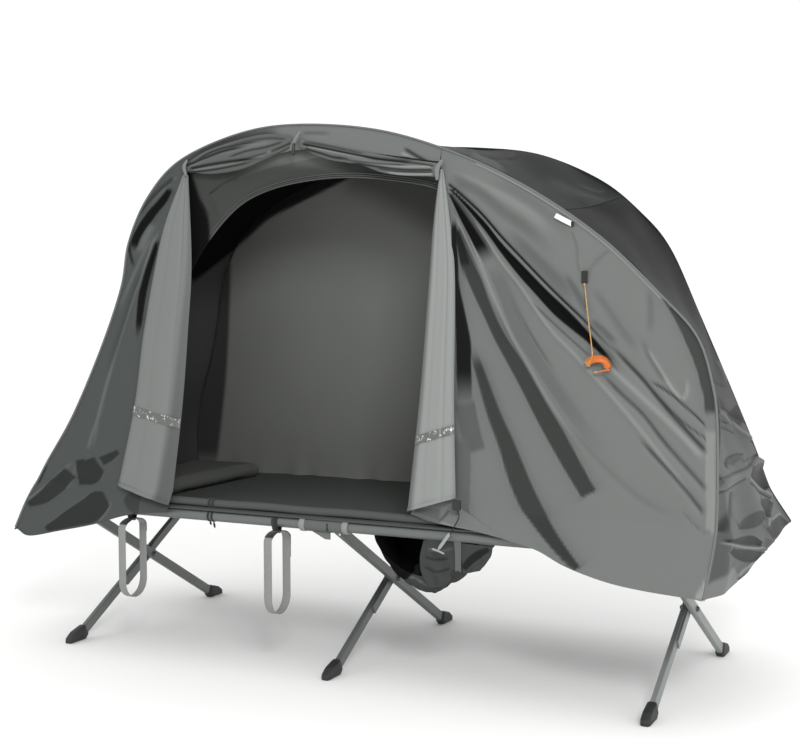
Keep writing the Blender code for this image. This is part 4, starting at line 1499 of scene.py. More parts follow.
@dataclass
class Fly:
    """The outer fly: roof and ends in one sweep, the panels of the long sides and the trim."""

    apex: tuple[float, float] = (0.246, 1.350)
    seam_inset: float = 0.0025
    peg_z: float = 0.35
    peg_leans: tuple[float, ...] = (-0.66, -0.36, -0.13, 0.17, 0.41, 0.70)
    head_pegs: tuple[float, ...] = (-0.38, 0.38)
    back_pegs: tuple[float, ...] = (-1.0, -0.35, 0.35, 1.0)
    # The hem behind the right curtain, and the tape over the near pole
    tuck_low: Line = Line("0.235,0.453 0.287,0.4405 0.345,0.433 0.4,0.4275 0.44,0.422 0.485,0.415")
    tuck_high: Line = Line("0.24,0.49 0.29,0.49 0.34,0.486 0.4,0.46 0.44,0.44 0.485,0.419")
    sleeve_shares: tuple[float, float] = (0.615, 0.800)
    sleeve_width: float = 0.007
    right_folds: tuple[Crease, ...] = (
        # The pleat that opens below the right toggle, painted black, and the fine crease above it, painted
        # dark
        Pleat("448,188 466,207 486,231 502,253 519,275 536,294 555,315 574,331 589,343 606,359 622,376",
              "449,187 469,206 485,223 500,242 519,262 546,290 560,303 574,317 594,339 609,357 623,375", 9,
              1.0, 1.3, 1.3, 6.0, 0.02, 0.12),
        Fold("446,182 462,196 480,213 500,236 520,257 541,279 562,300 582,319 604,342 630,366", -6, 1.6,
             0.98, 0.02, 0.35, 1.1),
        Fold("452,189 470,208 486,226 500,244", 3, 1.5, -0.1, 0.05, 0.1),
        Fold("500,224 520,244 540,264 562,286 584,308", -4, 8.0, 0.3, 0.3, 0.3, 1.4),
        Fold("560,270 570,284 580,300 590,318", -3, 5.0, 0.34, 0.3, 0.3, 1.2),
        Fold("588,318 602,330 618,346", -2, 4.0, 0.34, 0.25, 0.3, 1.2),
        Fold("530,300 552,322 576,344 594,360", -2, 1.3, 0.5, 0.2, 0.15),
        Fold("560,306 576,322 592,338", -2, 1.2, 0.6, 0.2, 0.15),
        Fold("452,188 478,220 502,248 522,270 545,294 566,318 588,338 612,360", 3, 2.0, -0.1, 0.1, 0.2, 1.4),
        # The second pleat, painted black and soft on its far side, which goes on down with paler painted
        # shade
        Pleat("450,194 457,209 464,224 471,238 478,252 486,266", "451,192 460,204 470,219 479,233 489,249 "
              "499,266", 8, 1.0, 1.2, 6.0, 5.0, 0.02, 0.3),
        Pleat("482,256 497,290 514,334 533,364 558,402 585,440 612,476", "490,254 508,286 527,330 544,360 "
              "570,400 600,440 628,474", 6, 0.3, 2.0, 5.0, 9.0, 0.12, 0.4),
        Fold("452,200 466,228 478,258 494,298 510,334 528,366 552,408 580,446 604,470", 4, 2.0, -0.14, 0.05,
             0.3, 1.5),
        Fold("506,292 520,318 538,348 556,376", -3, 1.6, 0.3, 0.2, 0.3, 1.2),
        # The short pleat next to the curtain, painted black
        Pleat("456,226 458,244 462,264 467,286", "458,226 463,242 469,260 473,284", 4, 0.92, 1.3, 4.0, 4.0,
              0.08, 0.4),
        # The flat pleat that ends above the hem, painted dark
        Pleat("452,222 458,244 464,268 475,295 485,316 496,340 508,362 521,386 540,424 560,460 572,480 "
              "583,498", "454,218 463,242 472,262 481,280 488,300 499,325 511,345 524,364 544,400 563,432 "
              "579,462 597,494", 9, 0.78, 2.0, 2.0, 8.0, 0.1, 0.0),
        Fold("455,214 464,236 478,266 490,296 504,330", 4, 2.2, -0.18, 0.1, 0.3, 1.4),
        # The flat pleat that runs to the hem, painted dark
        Pleat("466,340 476,372 488,414 500,447 510,480 522,508 538,531 556,553 572,569", "472,340 484,372 "
              "500,414 512,440 521,462 533,490 546,515 561,540 584,572", 10, 0.78, 2.4, 2.4, 8.0, 0.12, 0.0),
        # Painted black shade beside the curtain
        Pleat("452,216 453,240 454,262 455,284 456,320 457,360 458,420", "455,216 458,240 459,262 459,284 "
              "466,320 471,352 472,420", 4, 0.97, 1.4, 1.8, 5.0, 0.06, 0.25),
        Pleat("455,400 460,430 466,452", "472,390 480,430 487,456", 2, 0.42, 3.0, 2.5, 5.0, 0.2),
        Pleat("453,430 454,470 455,500 456,530", "469,430 470,470 469,500 468,530", 3, 0.36, 2.0, 2.0, 5.0,
              0.15),
        # Soft bands of painted shade and light across the upper panel
        Fold("446,176 476,190 500,210 530,232 560,262", -3, 7.0, 0.26, 0.1, 0.4, 1.2),
        Fold("480,176 512,190 540,208 566,232 580,252", -2, 6.0, 0.14, 0.3, 0.4, 1.2),
        Fold("448,172 490,190 530,214 556,240", 3, 6.0, -0.12, 0.2, 0.3, 1.2),
        # Crests with painted highlights and creases with painted shade that run on to the foot end
        Fold("470,216 484,236 501,262 520,286 534,307 552,332 572,352 592,374 640,430 694,500", 4, 2.2,
             -0.16, 0.05, 0.08, 1.5),
        Fold("592,352 612,370 640,396 676,430 706,462", 5, 3.4, -0.2, 0.2, 0.1, 1.4),
        Fold("596,368 620,393 642,414 662,440 682,463 707,491", -6, 2.2, 0.5, 0.15, 0.05, 1.3),
        Fold("636,436 660,462 680,484 704,514", -6, 2.2, 0.55, 0.2, 0.05, 1.3),
        Fold("606,342 626,362 643,380 656,396 680,424 707,453", -7, 2.4, 0.72, 0.2, 0.05, 1.1),
        Fold("648,380 668,392 690,411 706,426", -4, 1.6, 0.75, 0.15, 0.05),
        Fold("656,398 680,420 696,432 707,440", -3, 1.5, 0.55, 0.15, 0.05),
        Fold("644,344 660,370 674,391 682,399 687,392 687,376", 4, 2.4, -0.3, 0.15, 0.2),
        Fold("640,338 652,362 666,384", -3, 4.0, 0.2, 0.2, 0.2),
        Fold("648,286 650,310 648,336", -3, 5.0, 0.2, 0.3),
        Fold("588,284 606,308 622,332 642,356", -3, 5.0, 0.18, 0.25, 0.3, 1.3),
        Fold("560,420 590,452 620,482 650,505 690,520", -2, 4.0, 0.12, 0.25, 0.3, 1.3),
        # Painted shade on the facet between the panel's edge and the pole sleeve
        Pleat("660,294 676,321 685,340 695,363 703,392 706,418", "664,294 686,321 703,343 712,366 716,390 "
              "714,416", 6, 0.72, 1.4, 1.4, 5.0, 0.06, 0.06),
        # The guyline's sewn-on corner patch
        Fold("572,231 577,246 578,262 580,273", 1.2, 1.4, 0.22, 0.05, 0.05),
        Fold("609,250 596,262 588,273", 1.2, 1.4, 0.2, 0.05, 0.05),
        # The taped seam at the foot end, drawn lighter, and painted light on the lower corner
        Pleat("706,430 706,470 706,500 706,536", "715,430 715,470 715,500 715,536", -1.5, -0.22, 1.2, 1.2,
              3.0, 0.03, 0.03),
        Pleat("698,602 708,602 718,600", "709,560 713,566 720,580", -4, -0.4, 5.0, 3.0, 6.0, 0.1, 0.0),
        Fold("682,512 698,528 712,533", -2, 1.6, 0.22, 0.1, 0.1),
    )
    tuck_folds: tuple[Crease, ...] = (
        # Painted shade and a painted highlight on the tuck's creases
        Pleat("412,516 430,524 440,528", "412,508 430,510 442,508", 0, 0.3, 2.0, 3.0, 3.0, 0.1),
        Fold("436,524 446,514 452,504", -1, 2.0, 0.45, 0.15, 0.15),
        Fold("413,512 430,518 452,526 474,532", 1, 1.4, -0.2, 0.05),
    )
    top_folds: tuple[Crease, ...] = (
        # Painted shade in the creases of the panel over the door, and a painted highlight
        Fold("186,166 206,152 236,139 284,132", -3, 6.0, 0.55, 0.05, 0.2, 1.2),
        Fold("402,147 420,158 438,168", -4, 2.4, 0.75, 0.15, 0.05, 1.1),
        Fold("399,152 418,162 436,171", 4, 2.4, -0.3, 0.15, 0.05, 1.1),
        Fold("302,133 316,133 334,134", -2, 2.5, 0.3, 0.1, 0.4, 1.1),
    )
    left_folds: tuple[Crease, ...] = (
        # Painted black shade on the facet under the ridge and along the line beside the curtain
        Pleat("171,186 159,201 149,212 141,224 134,237 129,252", "171,190 165,202 156,213 147,226 140,237 "
              "134,252", 6, 0.97, 1.6, 1.6, 5.0, 0.04, 0.12),
        Fold("174,178 164,186 153,197 144,209 138,220", -2, 3.6, 0.5, 0.05, 0.25),
        Fold("177,177 168,186 158,196 148,206 140,216 136,226", 3, 1.8, -0.24, 0.05, 0.15),
        Fold("131,240 129,250 132,262 136,268", -4, 2.0, 0.8, 0.1),
        Pleat("158,239 152,256 147,270 143,283 139,300 136,342", "159,237 157,248 153,262 148,280 144,299 "
              "138,342", 6, 0.97, 1.3, 1.3, 5.0, 0.06, 0.2),
        Fold("161,226 155,241 150,256 143,275 136,292 124,328 112,368 100,412 92,455", 5, 2.0, -0.3, 0.08,
             0.15, 1.3),
        Fold("156,232 140,262 128,288 116,314", 3, 2.4, -0.22),
        Fold("152,222 144,240 140,256", 4, 7.0, -0.3),
        Fold("146,262 132,296 118,340 106,380", -3, 4.0, 0.2, 0.2, 0.3, 1.4),
        # Facets gathered to the head end's corner, with painted shade
        Pleat("28,506 44,503 58,494 66,486 72,480", "28,504 44,491 56,478 65,470 71,464", -5, 0.6, 1.2, 1.2,
              5.0, 0.03, 0.03),
        Pleat("79,484 86,484 94,483 100,472", "75,461 84,459 93,456 99,456", -4, 0.62, 1.2, 1.2, 5.0, 0.04,
              0.06),
        Pleat("101,466 110,461 119,453", "101,457 110,453 119,449", -3, 0.6),
        Fold("66,490 73,476 77,464", 3, 2.4, -0.1, 0.1, 0.1),
        Fold("26,503 48,486 62,473 74,460", 4, 1.8, -0.24, 0.08, 0.2, 1.2),
        Pleat("44,531 60,529 80,525 94,522 103,513 110,504", "44,528 56,520 68,511 84,500 94,492 106,492",
              -4, 0.62, 1.3, 1.3, 6.0, 0.05, 0.05),
        Pleat("125,512 132,515 138,512", "126,502 132,494 143,499", -3, 0.4, 1.6, 1.8, 4.0, 0.15, 0.15),
        Fold("37,486 42,474 47,464", -3, 1.8, 0.55, 0.2, 0.2),
        Fold("98,522 106,512 112,500", 3, 2.0, -0.2, 0.15, 0.15),
        Fold("88,452 92,436 98,420 104,402", 4, 2.6, -0.26, 0.15, 0.25),
    )
    end_folds: tuple[Crease, ...] = (
        # The flap that sticks out, its lip, and painted shade in the hollow under it
        Fold("714,484 730,476 750,466 767,458", 15, 5.0, -0.1, 0.1, 0.03),
        Pleat("742,471 748,478 767,491", "743,469 760,466 768,488", -6, 0.72, 1.2, 1.2, 5.0, 0.04, 0.04),
        Fold("714,481 728,474 741,468 752,459 760,452", -5, 1.6, 0.66, 0.04, 0.08),
        Fold("714,496 726,488 738,479", -4, 1.5, 0.62, 0.04, 0.06),
        Fold("716,491 730,483 744,474 758,469", 4, 2.4, -0.16, 0.1, 0.2),
        Fold("726,470 726,460 733,455 743,455", -4, 1.7, 0.72, 0.08, 0.1),
        Pleat("728,470 732,464 742,458", "726,461 732,456 742,455", -3, 0.45, 3.0, 1.4, 4.0, 0.1, 0.2),
        Fold("741,479 752,486 762,491 772,496", 5, 1.5, -0.52, 0.06, 0.05),
        Fold("742,483 753,490 763,496 770,499", -5, 1.5, 0.75, 0.08, 0.05),
        # Crumpled facets below the flap, with painted shade and highlights
        Pleat("727,529 736,530 748,527 757,519", "727,525 733,519 744,513 757,514", -5, 0.66, 1.8, 1.8, 5.0,
              0.06, 0.06),
        Fold("728,490 724,505 721,518 717,534", -5, 2.2, 0.6, 0.1, 0.1, 1.2),
        Pleat("753,502 756,512 759,521", "755,501 768,502 761,520", -4, 0.66, 1.2, 1.2, 4.0, 0.05, 0.05),
        Pleat("716,540 728,544 740,546 750,547", "718,539 728,537 739,537 750,545", -5, 0.74, 1.2, 1.3, 4.0,
              0.06, 0.05),
        Pleat("718,550 724,557 733,562 743,562 754,556", "719,547 729,549 738,551 748,553 755,555", -5,
              0.72, 1.3, 1.2, 4.0, 0.05, 0.05),
        Fold("716,542 730,547 742,549 752,550 758,553", 5, 1.6, -0.55, 0.06, 0.06),
        Fold("758,554 747,560 738,565 728,570 720,577", 5, 1.7, -0.52, 0.06, 0.12),
        Pleat("722,581 738,581 748,573 758,558", "723,577 740,569 749,563 757,557", -4, 0.7, 1.4, 1.3, 4.0,
              0.06, 0.05),
        # The tail, with painted shade
        Pleat("760,545 768,540 777,533 789,526", "759,529 767,521 778,516 789,523", -3, 0.66, 2.0, 1.4, 6.0,
              0.05, 0.0),
        Pleat("746,562 752,556 758,548", "750,552 756,540 760,532", -2, 0.42, 2.0, 3.0, 5.0, 0.15),
        Fold("770,503 763,513 759,525 758,533", 5, 1.6, -0.5, 0.06, 0.15),
        Fold("779,514 770,518 761,523", 5, 1.5, -0.46, 0.06, 0.12),
        # Small wrinkles above the flap, with painted shade and highlights
        Fold("718,403 732,414 748,425", -4, 1.8, 0.7, 0.1, 0.12),
        Fold("721,411 726,418 731,426", 5, 1.5, -0.6, 0.1, 0.12),
        Fold("732,421 741,431 750,438 760,446", 5, 1.8, -0.5, 0.1, 0.12),
        Fold("718,424 726,429 736,434", -3, 1.5, 0.66, 0.1, 0.15),
        Fold("717,414 722,420 728,424", -3, 1.4, 0.6, 0.1, 0.15),
        Fold("738,463 748,459 758,454", -3, 1.5, 0.45, 0.1, 0.15),
        Pleat("728,414 738,424 742,424", "734,404 741,410 744,420", -3, 0.6, 1.4, 1.4, 4.0, 0.1, 0.08),
        Fold("748,440 754,444 760,447", -3, 1.6, 0.55, 0.15, 0.1),
        Fold("709,372 716,382 726,388", -3, 1.8, 0.35, 0.15, 0.2),
        Fold("712,392 720,399 726,410", -3, 1.8, 0.35, 0.15, 0.2),
        Fold("716,360 722,372 726,384", 3, 1.8, -0.3, 0.15, 0.2),
        Pleat("704,604 716,602 730,596", "712,560 718,572 727,588", -3, -0.4, 3.0, 2.5, 6.0, 0.1),
    )
    roof_folds: tuple[Crease, ...] = (
        # Painted highlights on the roof's crests, and painted shade in a few creases
        Pleat("462,160 482,169 506,175", "474,152 492,157 508,172", 3, -0.34, 3.0, 2.0, 4.0, 0.2, 0.15),
        Fold("500,172 506,160 516,152", 3, 1.8, -0.34, 0.15, 0.2),
        Fold("476,152 496,158 520,158", -3, 2.4, 0.35),
        Fold("540,176 566,190 598,204 620,224", 3, 7.0, -0.16, 0.25),
        Fold("600,240 622,262 640,286", 3, 6.0, -0.12, 0.25),
        Fold("664,262 672,280 680,300", 3, 3.0, -0.22, 0.25),
        Fold("570,196 590,199 612,201", 2, 2.0, -0.2, 0.2),
        Fold("576,186 596,191 610,190", 2, 2.0, -0.16, 0.2),
        Fold("634,240 642,246 646,258", 3, 3.0, -0.22, 0.2),
        Fold("640,288 664,312 690,344", -3, 4.0, 0.35, 0.2),
    )

    def uneven(self, seed: int, depth: float, pace: float) -> Amount:
        """Small random slackness, so many metres deep, with so many waves a metre."""
        return lambda s, t, flat: depth * ripple(flat[:, 0] * pace + flat[:, 1] * pace, flat[:, 2] * pace,
                                                 seed)

    def peg_folds(self, axis: int, pegs: Sequence[float], flat: Points) -> tuple[Array, Array]:
        """Soft folds that fan up from the hem's corners, on the sides that the photograph hides.

        Args:
            axis: 0 for a long side, 1 for an end.
            pegs: where they start along it.
            flat: the cloth's points.

        Returns:
            Metres outwards, and the painted shade on each side of a fold, below zero painted light.
        """
        rise = flat[:, 2] - self.peg_z
        move, shade = np.zeros(len(flat)), np.zeros(len(flat))
        for peg in pegs:
            for lean in self.peg_leans:
                off = (flat[:, axis] - peg - lean * rise) / (0.010 + 0.055 * np.maximum(rise, 0.0))
                ridge = np.exp(-off ** 2) * smoothstep((0.72 - rise) / 0.5) * smoothstep(rise / 0.08)
                move += 0.007 * ridge
                shade += 0.30 * off * ridge
        return move, shade

    def bands(self) -> None:
        """Roof and both ends."""
        def head_move(s: Array, t: Array, flat: Points) -> Array:
            """The head end's folds and slackness."""
            return self.peg_folds(1, self.head_pegs, flat)[0] + self.uneven(20, 0.004, 3.4)(s, t, flat)

        def head_shade(s: Array, t: Array, flat: Points) -> Array:
            """Painted shade on the head end, deepening upwards into the roof, and on the sides of its folds.
            """
            return self.peg_folds(1, self.head_pegs, flat)[1] + 0.84 * smoothstep((flat[:, 2] - 0.75) / 0.42)

        def foot_move(s: Array, t: Array, flat: Points) -> Array:
            """The foot end's hem swells out and rounds the outline."""
            swell = smoothstep(t / 0.10) * smoothstep((0.97 - t) / 0.35) * smoothstep((s - 0.70) / 0.24)
            return 0.030 * swell + self.uneven(22, 0.004, 3.4)(s, t, flat)

        def foot_shade(s: Array, t: Array, flat: Points) -> Array:
            """Painted shade on the foot end, deepening upwards into the roof."""
            return 0.92 * smoothstep((flat[:, 2] - 0.50) / 0.36)

        wide = (0.02, 0.02, 0.03, 0.03)
        makes = (
            ("left_end", 0, 20, (130, 130), HEADWARD, FLY_SHADE, (), head_move, head_shade, (1.0, 1.0), wide),
            ("roof", 20, 50, (130, 90), UPWARD, FLY_ROOF_PAINTED_SHADE, self.roof_folds, self.uneven(21, 0.004, 3.4), None,
             (1.0, 1.0), wide),
            # Finer towards the crumpled near hem, and free at its hem
            ("right_end", 50, 72, (320, 150), FOOTWARD, FLY_END_PAINTED_SHADE, self.end_folds, foot_move, foot_shade,
             (0.72, 1.35), (0.02, 0.0, 0.03, 0.03)),
        )
        for end, first, last, size, out, finish, folds, move, shade, crowd, pinned in makes:
            shape = TENT.band(TENT.near, TENT.far, TENT.side_y, first / TENT.fly_steps, last / TENT.fly_steps,
                              TENT.roof_crown)
            Panel(f"fly_{end}_cloth", *size, shape, finish, out, folds, move, shade, crowd=crowd,
                  pinned=pinned).lay(f"fly_{end}", ["pole_near", "pole_far"])

    def sides(self) -> None:
        """The near side's three panels and the back."""
        def head_shade(s: Array, t: Array, flat: Points) -> Array:
            """Painted shade on the front over the door, deepening towards the head end."""
            return 0.50 * smoothstep((-0.22 - flat[:, 0]) / 0.30)

        makes = (
            ("left", 1, 25, TENT.hem_left, (150, 250), FLY_SHADE, self.left_folds, 31, None),
            ("top", 25, 42, TENT.valance, (200, 24), FLY, self.top_folds, 32, head_shade),
        )
        for side, first, last, hem, size, finish, folds, seed, painted_shading in makes:
            top = TENT.ridge(TENT.near, TENT.fly_steps, first, last, TENT.under)
            Panel(f"fly_front_{side}_cloth", *size, TENT.ruled(top, hem.at, TENT.side_y, -1.0), finish,
                  NEARWARD, folds, self.uneven(seed, 0.0012, 3.0), painted_shading, planar=True,
                  pinned=(0.02, 0.02, 0.03, 0.02)).lay(f"fly_front_{side}", ["pole_near"])
        self.front_right()
        self.tuck()
        top = TENT.ridge(TENT.far, TENT.fly_steps, 1, TENT.fly_steps - 1, TENT.under)
        slack = self.uneven(34, 0.004, 2.4)
        Panel("fly_back_cloth", 260, 110, TENT.ruled(top, TENT.hem_back.at, TENT.side_y, 1.0), FLY, ACROSS,
              unevenness=lambda s, t, flat: self.peg_folds(0, self.back_pegs, flat)[0] + slack(s, t, flat),
              painted_shading=lambda s, t, flat: self.peg_folds(0, self.back_pegs, flat)[1]
              ).lay("fly_back", ["pole_far"])

    def front_right(self) -> None:
        """The broad panel beside the door, gathered at the right toggle and fanned out to its edges."""
        steps = np.linspace(42.0, 71.6, 60) / TENT.fly_steps
        ridge = TENT.near.at(steps) - TENT.near.outward(steps) * self.seam_inset
        rim = Line([*ridge, *TENT.hem_right.at(np.linspace(1.0, 0.0, 30))])
        Panel("fly_front_right_cloth", 330, 144, TENT.fan(self.apex, rim, 0.004, TENT.side_y, -1.0), FLY,
              NEARWARD, self.right_folds, self.uneven(33, 0.0012, 3.0), planar=True,
              pinned=(0.01, 0.01, 0.0, 0.02)).lay("fly_front_right", ["pole_near"])

    def proud(self, z: Array) -> Array:
        """How far out a tape or hem sewn onto the fly's long sides lies."""
        return TENT.side_y(z) + THIN

    def tuck(self) -> None:
        """The hem that runs on behind the right curtain's foot."""
        shape = TENT.ruled(self.tuck_high.at, self.tuck_low.at, self.proud, -1.0)
        Panel("fly_hem_tuck", 90, 24, shape, FLY, NEARWARD, self.tuck_folds, planar=True, pinned=LOOSE).lay()

    def ridge_seams(self) -> None:
        """The piping sewn along both ridges."""
        for name, line, side, finish in (("near", TENT.near, -1.0, FLY), ("far", TENT.far, 1.0, FLY_ROOF_PAINTED_SHADE)):
            shares = np.linspace(0.002, 0.999, 260)
            flat = line.at(shares) - line.outward(shares) * 0.0015
            route = TENT.on_side(flat, side, TENT.side_y)
            ring = oval(0.0030, 0.0040)
            soft_ride(sweep(f"fly_ridge_seam_{name}", route, lambda share: ring, finish, ACROSS))

    def cross_seams(self) -> None:
        """The flat seams between roof and ends, and the tape along the far hem."""
        t = np.linspace(0.02, 0.98, 60)
        for name, step in (("head", 20.0), ("foot", 50.0)):
            share = step / TENT.fly_steps
            shape = TENT.band(TENT.near, TENT.far, TENT.side_y, share, share, TENT.roof_crown)
            ring, route = oval(0.0014, 0.0024), shape(np.zeros_like(t), t)
            soft_ride(sweep(f"fly_cross_seam_{name}", route, lambda share: ring, FLY_ROOF_PAINTED_SHADE))
        shape = TENT.ruled(lambda s: TENT.hem_back.at(s) + [0.0, 0.014], TENT.hem_back.at, self.proud, 1.0)
        Panel("fly_far_hem_tape", 160, 3, shape, FLY_SHADE, ACROSS, pinned=LOOSE).lay()

    def pole_sleeve(self) -> None:
        """The tape over the near pole, drawn lighter than the fly, from the right toggle down to the foot
        end.
        """
        low, high = (TENT.ridge(TENT.near, 1, *self.sleeve_shares, self.seam_inset + width)
                     for width in (self.sleeve_width, 0.0))
        shape = TENT.ruled(high, low, lambda z: self.proud(z) + 0.001, -1.0)
        Panel("pole_sleeve_tape", 160, 4, shape, FLY, NEARWARD, pinned=LOOSE, painted_shading=even(-0.16),
              thickness=THIN).lay()

    def label(self) -> None:
        """The blank woven label folded over the edge tape, and its black stop."""
        corner = TENT.photo_point((571.5, 226.5), 0.004)
        along = TENT.photo_point((554.0, 217.5), 0.004) - corner
        up = TENT.photo_point((574.0, 222.0), 0.004) - corner

        def place(s: Array, t: Array) -> Points:
            """The label's points, a little bowed."""
            flat = corner + s[:, None] * along + t[:, None] * up
            flat[:, 1] -= 0.003 * np.sin(math.pi * s)
            return flat

        Panel("blank_label", 24, 10, place, LABEL, NEARWARD, pinned=LOOSE).lay()
        low = corner + np.array([-0.001, -0.002, 0.0])
        soft_ride(rounded_block("label_stop", low, low + np.array([0.007, 0.004, 0.013]), 0.0015, TAPE))

    def build(self) -> None:
        """Make the fly."""
        self.bands()
        self.sides()
        self.ridge_seams()
        self.cross_seams()
        self.pole_sleeve()
        self.label()


@dataclass(frozen=True)
class Curtain:
    """A tied-back curtain: its edges from the foot up, its band's heights as shares, and its cloth."""

    name: str
    left: Line
    right: Line
    band: tuple[float, float]
    finish: Finish

    def shading(self, s: Array, t: Array, flat: Points) -> Array:
        """Its painted shade round its turned-back edges, most on the door's side."""
        if self.name == "curtain_left":
            turn = smoothstep((s - 0.66 - 0.20 * t) / 0.16)
            return 0.46 * turn * (1.0 - 0.5 * t) + 0.20 * smoothstep((0.10 - s) / 0.10)
        return 0.42 * smoothstep((0.20 - s) / 0.14) + 0.16 * smoothstep((s - 0.90) / 0.10)


@dataclass
class DoorDrapes:
    """The tied-up valance with its toggles, and the two tied-back curtains."""

    clear: float = 0.004
    swing: float = 0.014
    bulge: float = 0.013
    hem: float = 0.011
    curtains_hung: tuple[Curtain, ...] = (
        Curtain("curtain_left", Line("-0.676,0.473 -0.648,0.7 -0.641,0.907 -0.612,1.177 -0.558,1.349"),
                Line("-0.489,0.432 -0.484,0.696 -0.49,0.909 -0.5,1.095 -0.54,1.345"), (0.225, 0.252), LINING),
        Curtain("curtain_right", Line("0.23,0.462 0.239,0.738 0.24,0.98 0.24,1.19 0.247,1.325"),
                Line("0.359,0.502 0.335,0.741 0.312,1.046 0.285,1.2 0.257,1.325"), (0.190, 0.216),
                LINING_LIT))
    left_folds: tuple[Crease, ...] = (
        # Painted shade in the left swag's creases and painted highlights on its crests
        Fold("184,166 204,158 226,150 252,145", -5, 2.4, 0.85, 0.04, 0.3, 1.2),
        Fold("188,169 212,164 240,160 264,158", -5, 2.0, 0.85, 0.05, 0.25, 1.1),
        Fold("186,173 212,170 238,165 258,160", -4, 1.6, 0.7, 0.05, 0.25),
        Fold("190,164 210,152 236,144 262,141", -3, 1.5, 0.75, 0.05, 0.2),
        Fold("226,158 246,151 266,147 284,141", -3, 1.4, 0.6, 0.15, 0.1),
        Fold("232,163 252,157 270,152", -3, 1.4, 0.55, 0.15, 0.15),
        Fold("186,168 214,155 244,148 278,141", 4, 2.4, -0.25, 0.05, 0.15, 1.4),
        Fold("190,171 224,166 252,159 280,148", 4, 2.0, -0.3, 0.05, 0.15),
        Fold("222,148 246,141 270,138 288,139", -3, 2.0, 0.45, 0.15, 0.1),
        Fold("270,152 284,146 292,142", -3, 1.8, 0.6, 0.1, 0.1),
    )
    right_folds: tuple[Crease, ...] = (
        # Painted shade in the right swag's creases and painted highlights on its crests
        Fold("300,143 322,147 346,152 372,157 400,160 420,162", -6, 2.4, 0.92, 0.03, 0.15),
        Fold("303,149 318,153 334,158 350,160", -4, 2.0, 0.75, 0.05, 0.25),
        Fold("302,141 322,144 346,149 370,154", -3, 1.4, 0.55, 0.05, 0.2),
        Fold("330,157 356,161 384,164 410,165", -3, 1.4, 0.65, 0.15, 0.15),
        Fold("372,168 394,171 416,172 434,172", -3, 1.3, 0.7, 0.15, 0.05),
        Fold("306,146 330,151 352,155 376,159", 4, 2.0, -0.35, 0.05, 0.25),
        Fold("342,160 372,163 402,167 434,167", 5, 2.0, -0.4, 0.1, 0.05, 1.2),
        Fold("350,163 376,167 404,170 434,170", -4, 1.6, 0.7, 0.1, 0.05),
        Fold("384,171 404,174 434,174", 4, 2.2, -0.5, 0.15, 0.05),
        Fold("402,160 418,163 434,166", -3, 1.6, 0.7, 0.15, 0.05),
    )

    def hang(self, curtain: Curtain, low_t: float, high_t: float, lift: float) -> Shape:
        """Part of a curtain.

        Args:
            curtain: the curtain.
            low_t: where the part starts, as a share of the curtain's height.
            high_t: where it ends.
            lift: how far it stands off the curtain.

        Returns:
            Its shape.
        """
        across = between(curtain.left.at, curtain.right.at)

        def place(s: Array, t: Array) -> Points:
            """The curtain's points, bulging between its edges, with two lengthwise creases."""
            up = low_t + (high_t - low_t) * t
            flat = across(up, s)
            out = TENT.side_y(flat[:, 1]) + self.clear + self.swing * (1.0 - up) + lift
            round_off = np.sqrt(np.clip(4.0 * s * (1.0 - s), 0.0, 1.0))
            crease = 0.003 * np.exp(-((s - 0.72) / 0.05) ** 2) + 0.002 * np.exp(-((s - 0.3) / 0.07) ** 2)
            out += self.bulge * round_off * (0.45 + 0.55 * (1.0 - up)) - crease
            return np.stack([flat[:, 0], -out, flat[:, 1]], axis=-1)
        return place

    def curtains(self) -> None:
        """The two curtains with their reflective bands and hems."""
        for seed, curtain in enumerate(self.curtains_hung, 50):
            name = curtain.name
            Panel(f"{name}_cloth", 56, 150, self.hang(curtain, 0.0, 1.0, 0.0), curtain.finish, NEARWARD,
                  unevenness=lambda s, t, flat: 0.0018 * ripple(s * 1.4, t * 1.2, seed),
                  painted_shading=curtain.shading, thickness=THIN, pinned=(0.15, 0.15, 0.0, 0.05)
                  ).lay(name, ["fly_front_top"], Held.HUNG)
            # The hem carries on the curtain's painted shade, a little darker
            for label, low, high, finish in (("reflective_band", *curtain.band, SHINE),
                                             ("hem", 0.0, self.hem, curtain.finish)):
                Panel(f"{name}_{label}", 48, 4, self.hang(curtain, low, high, 0.0022), finish, NEARWARD,
                      painted_shading=lambda s, t, flat: curtain.shading(s, low + (high - low) * t, flat) + 0.05,
                      pinned=LOOSE, thickness=0.0005).lay()

    def swag(self, name: str, top: Line, bottom: Line, folds: Sequence[Crease], shade: float) -> Piece:
        """One gathered swag, hung between two toggles.

        Args:
            name: the piece's name.
            top: its upper edge, left to right.
            bottom: its lower edge.
            folds: its pleats.
            shade: how much painted shade it has all over.

        Returns:
            The swag.
        """
        def place(s: Array, t: Array) -> Points:
            """The swag's points: a roll that is fullest in its middle."""
            flat = between(bottom.at, top.at)(s, t)
            full = np.maximum(np.sin(math.pi * s), 0.0) ** 0.5
            flat[:, 1] -= 0.014 * full * np.maximum(np.sin(math.pi * t), 0.0) ** 0.6
            return flat

        return Panel(name, 200, 36, place, FLY, NEARWARD, folds, pinned=(0.03, 0.03, 0.04, 0.04),
                     painted_shading=even(shade), thickness=THIN).lay()

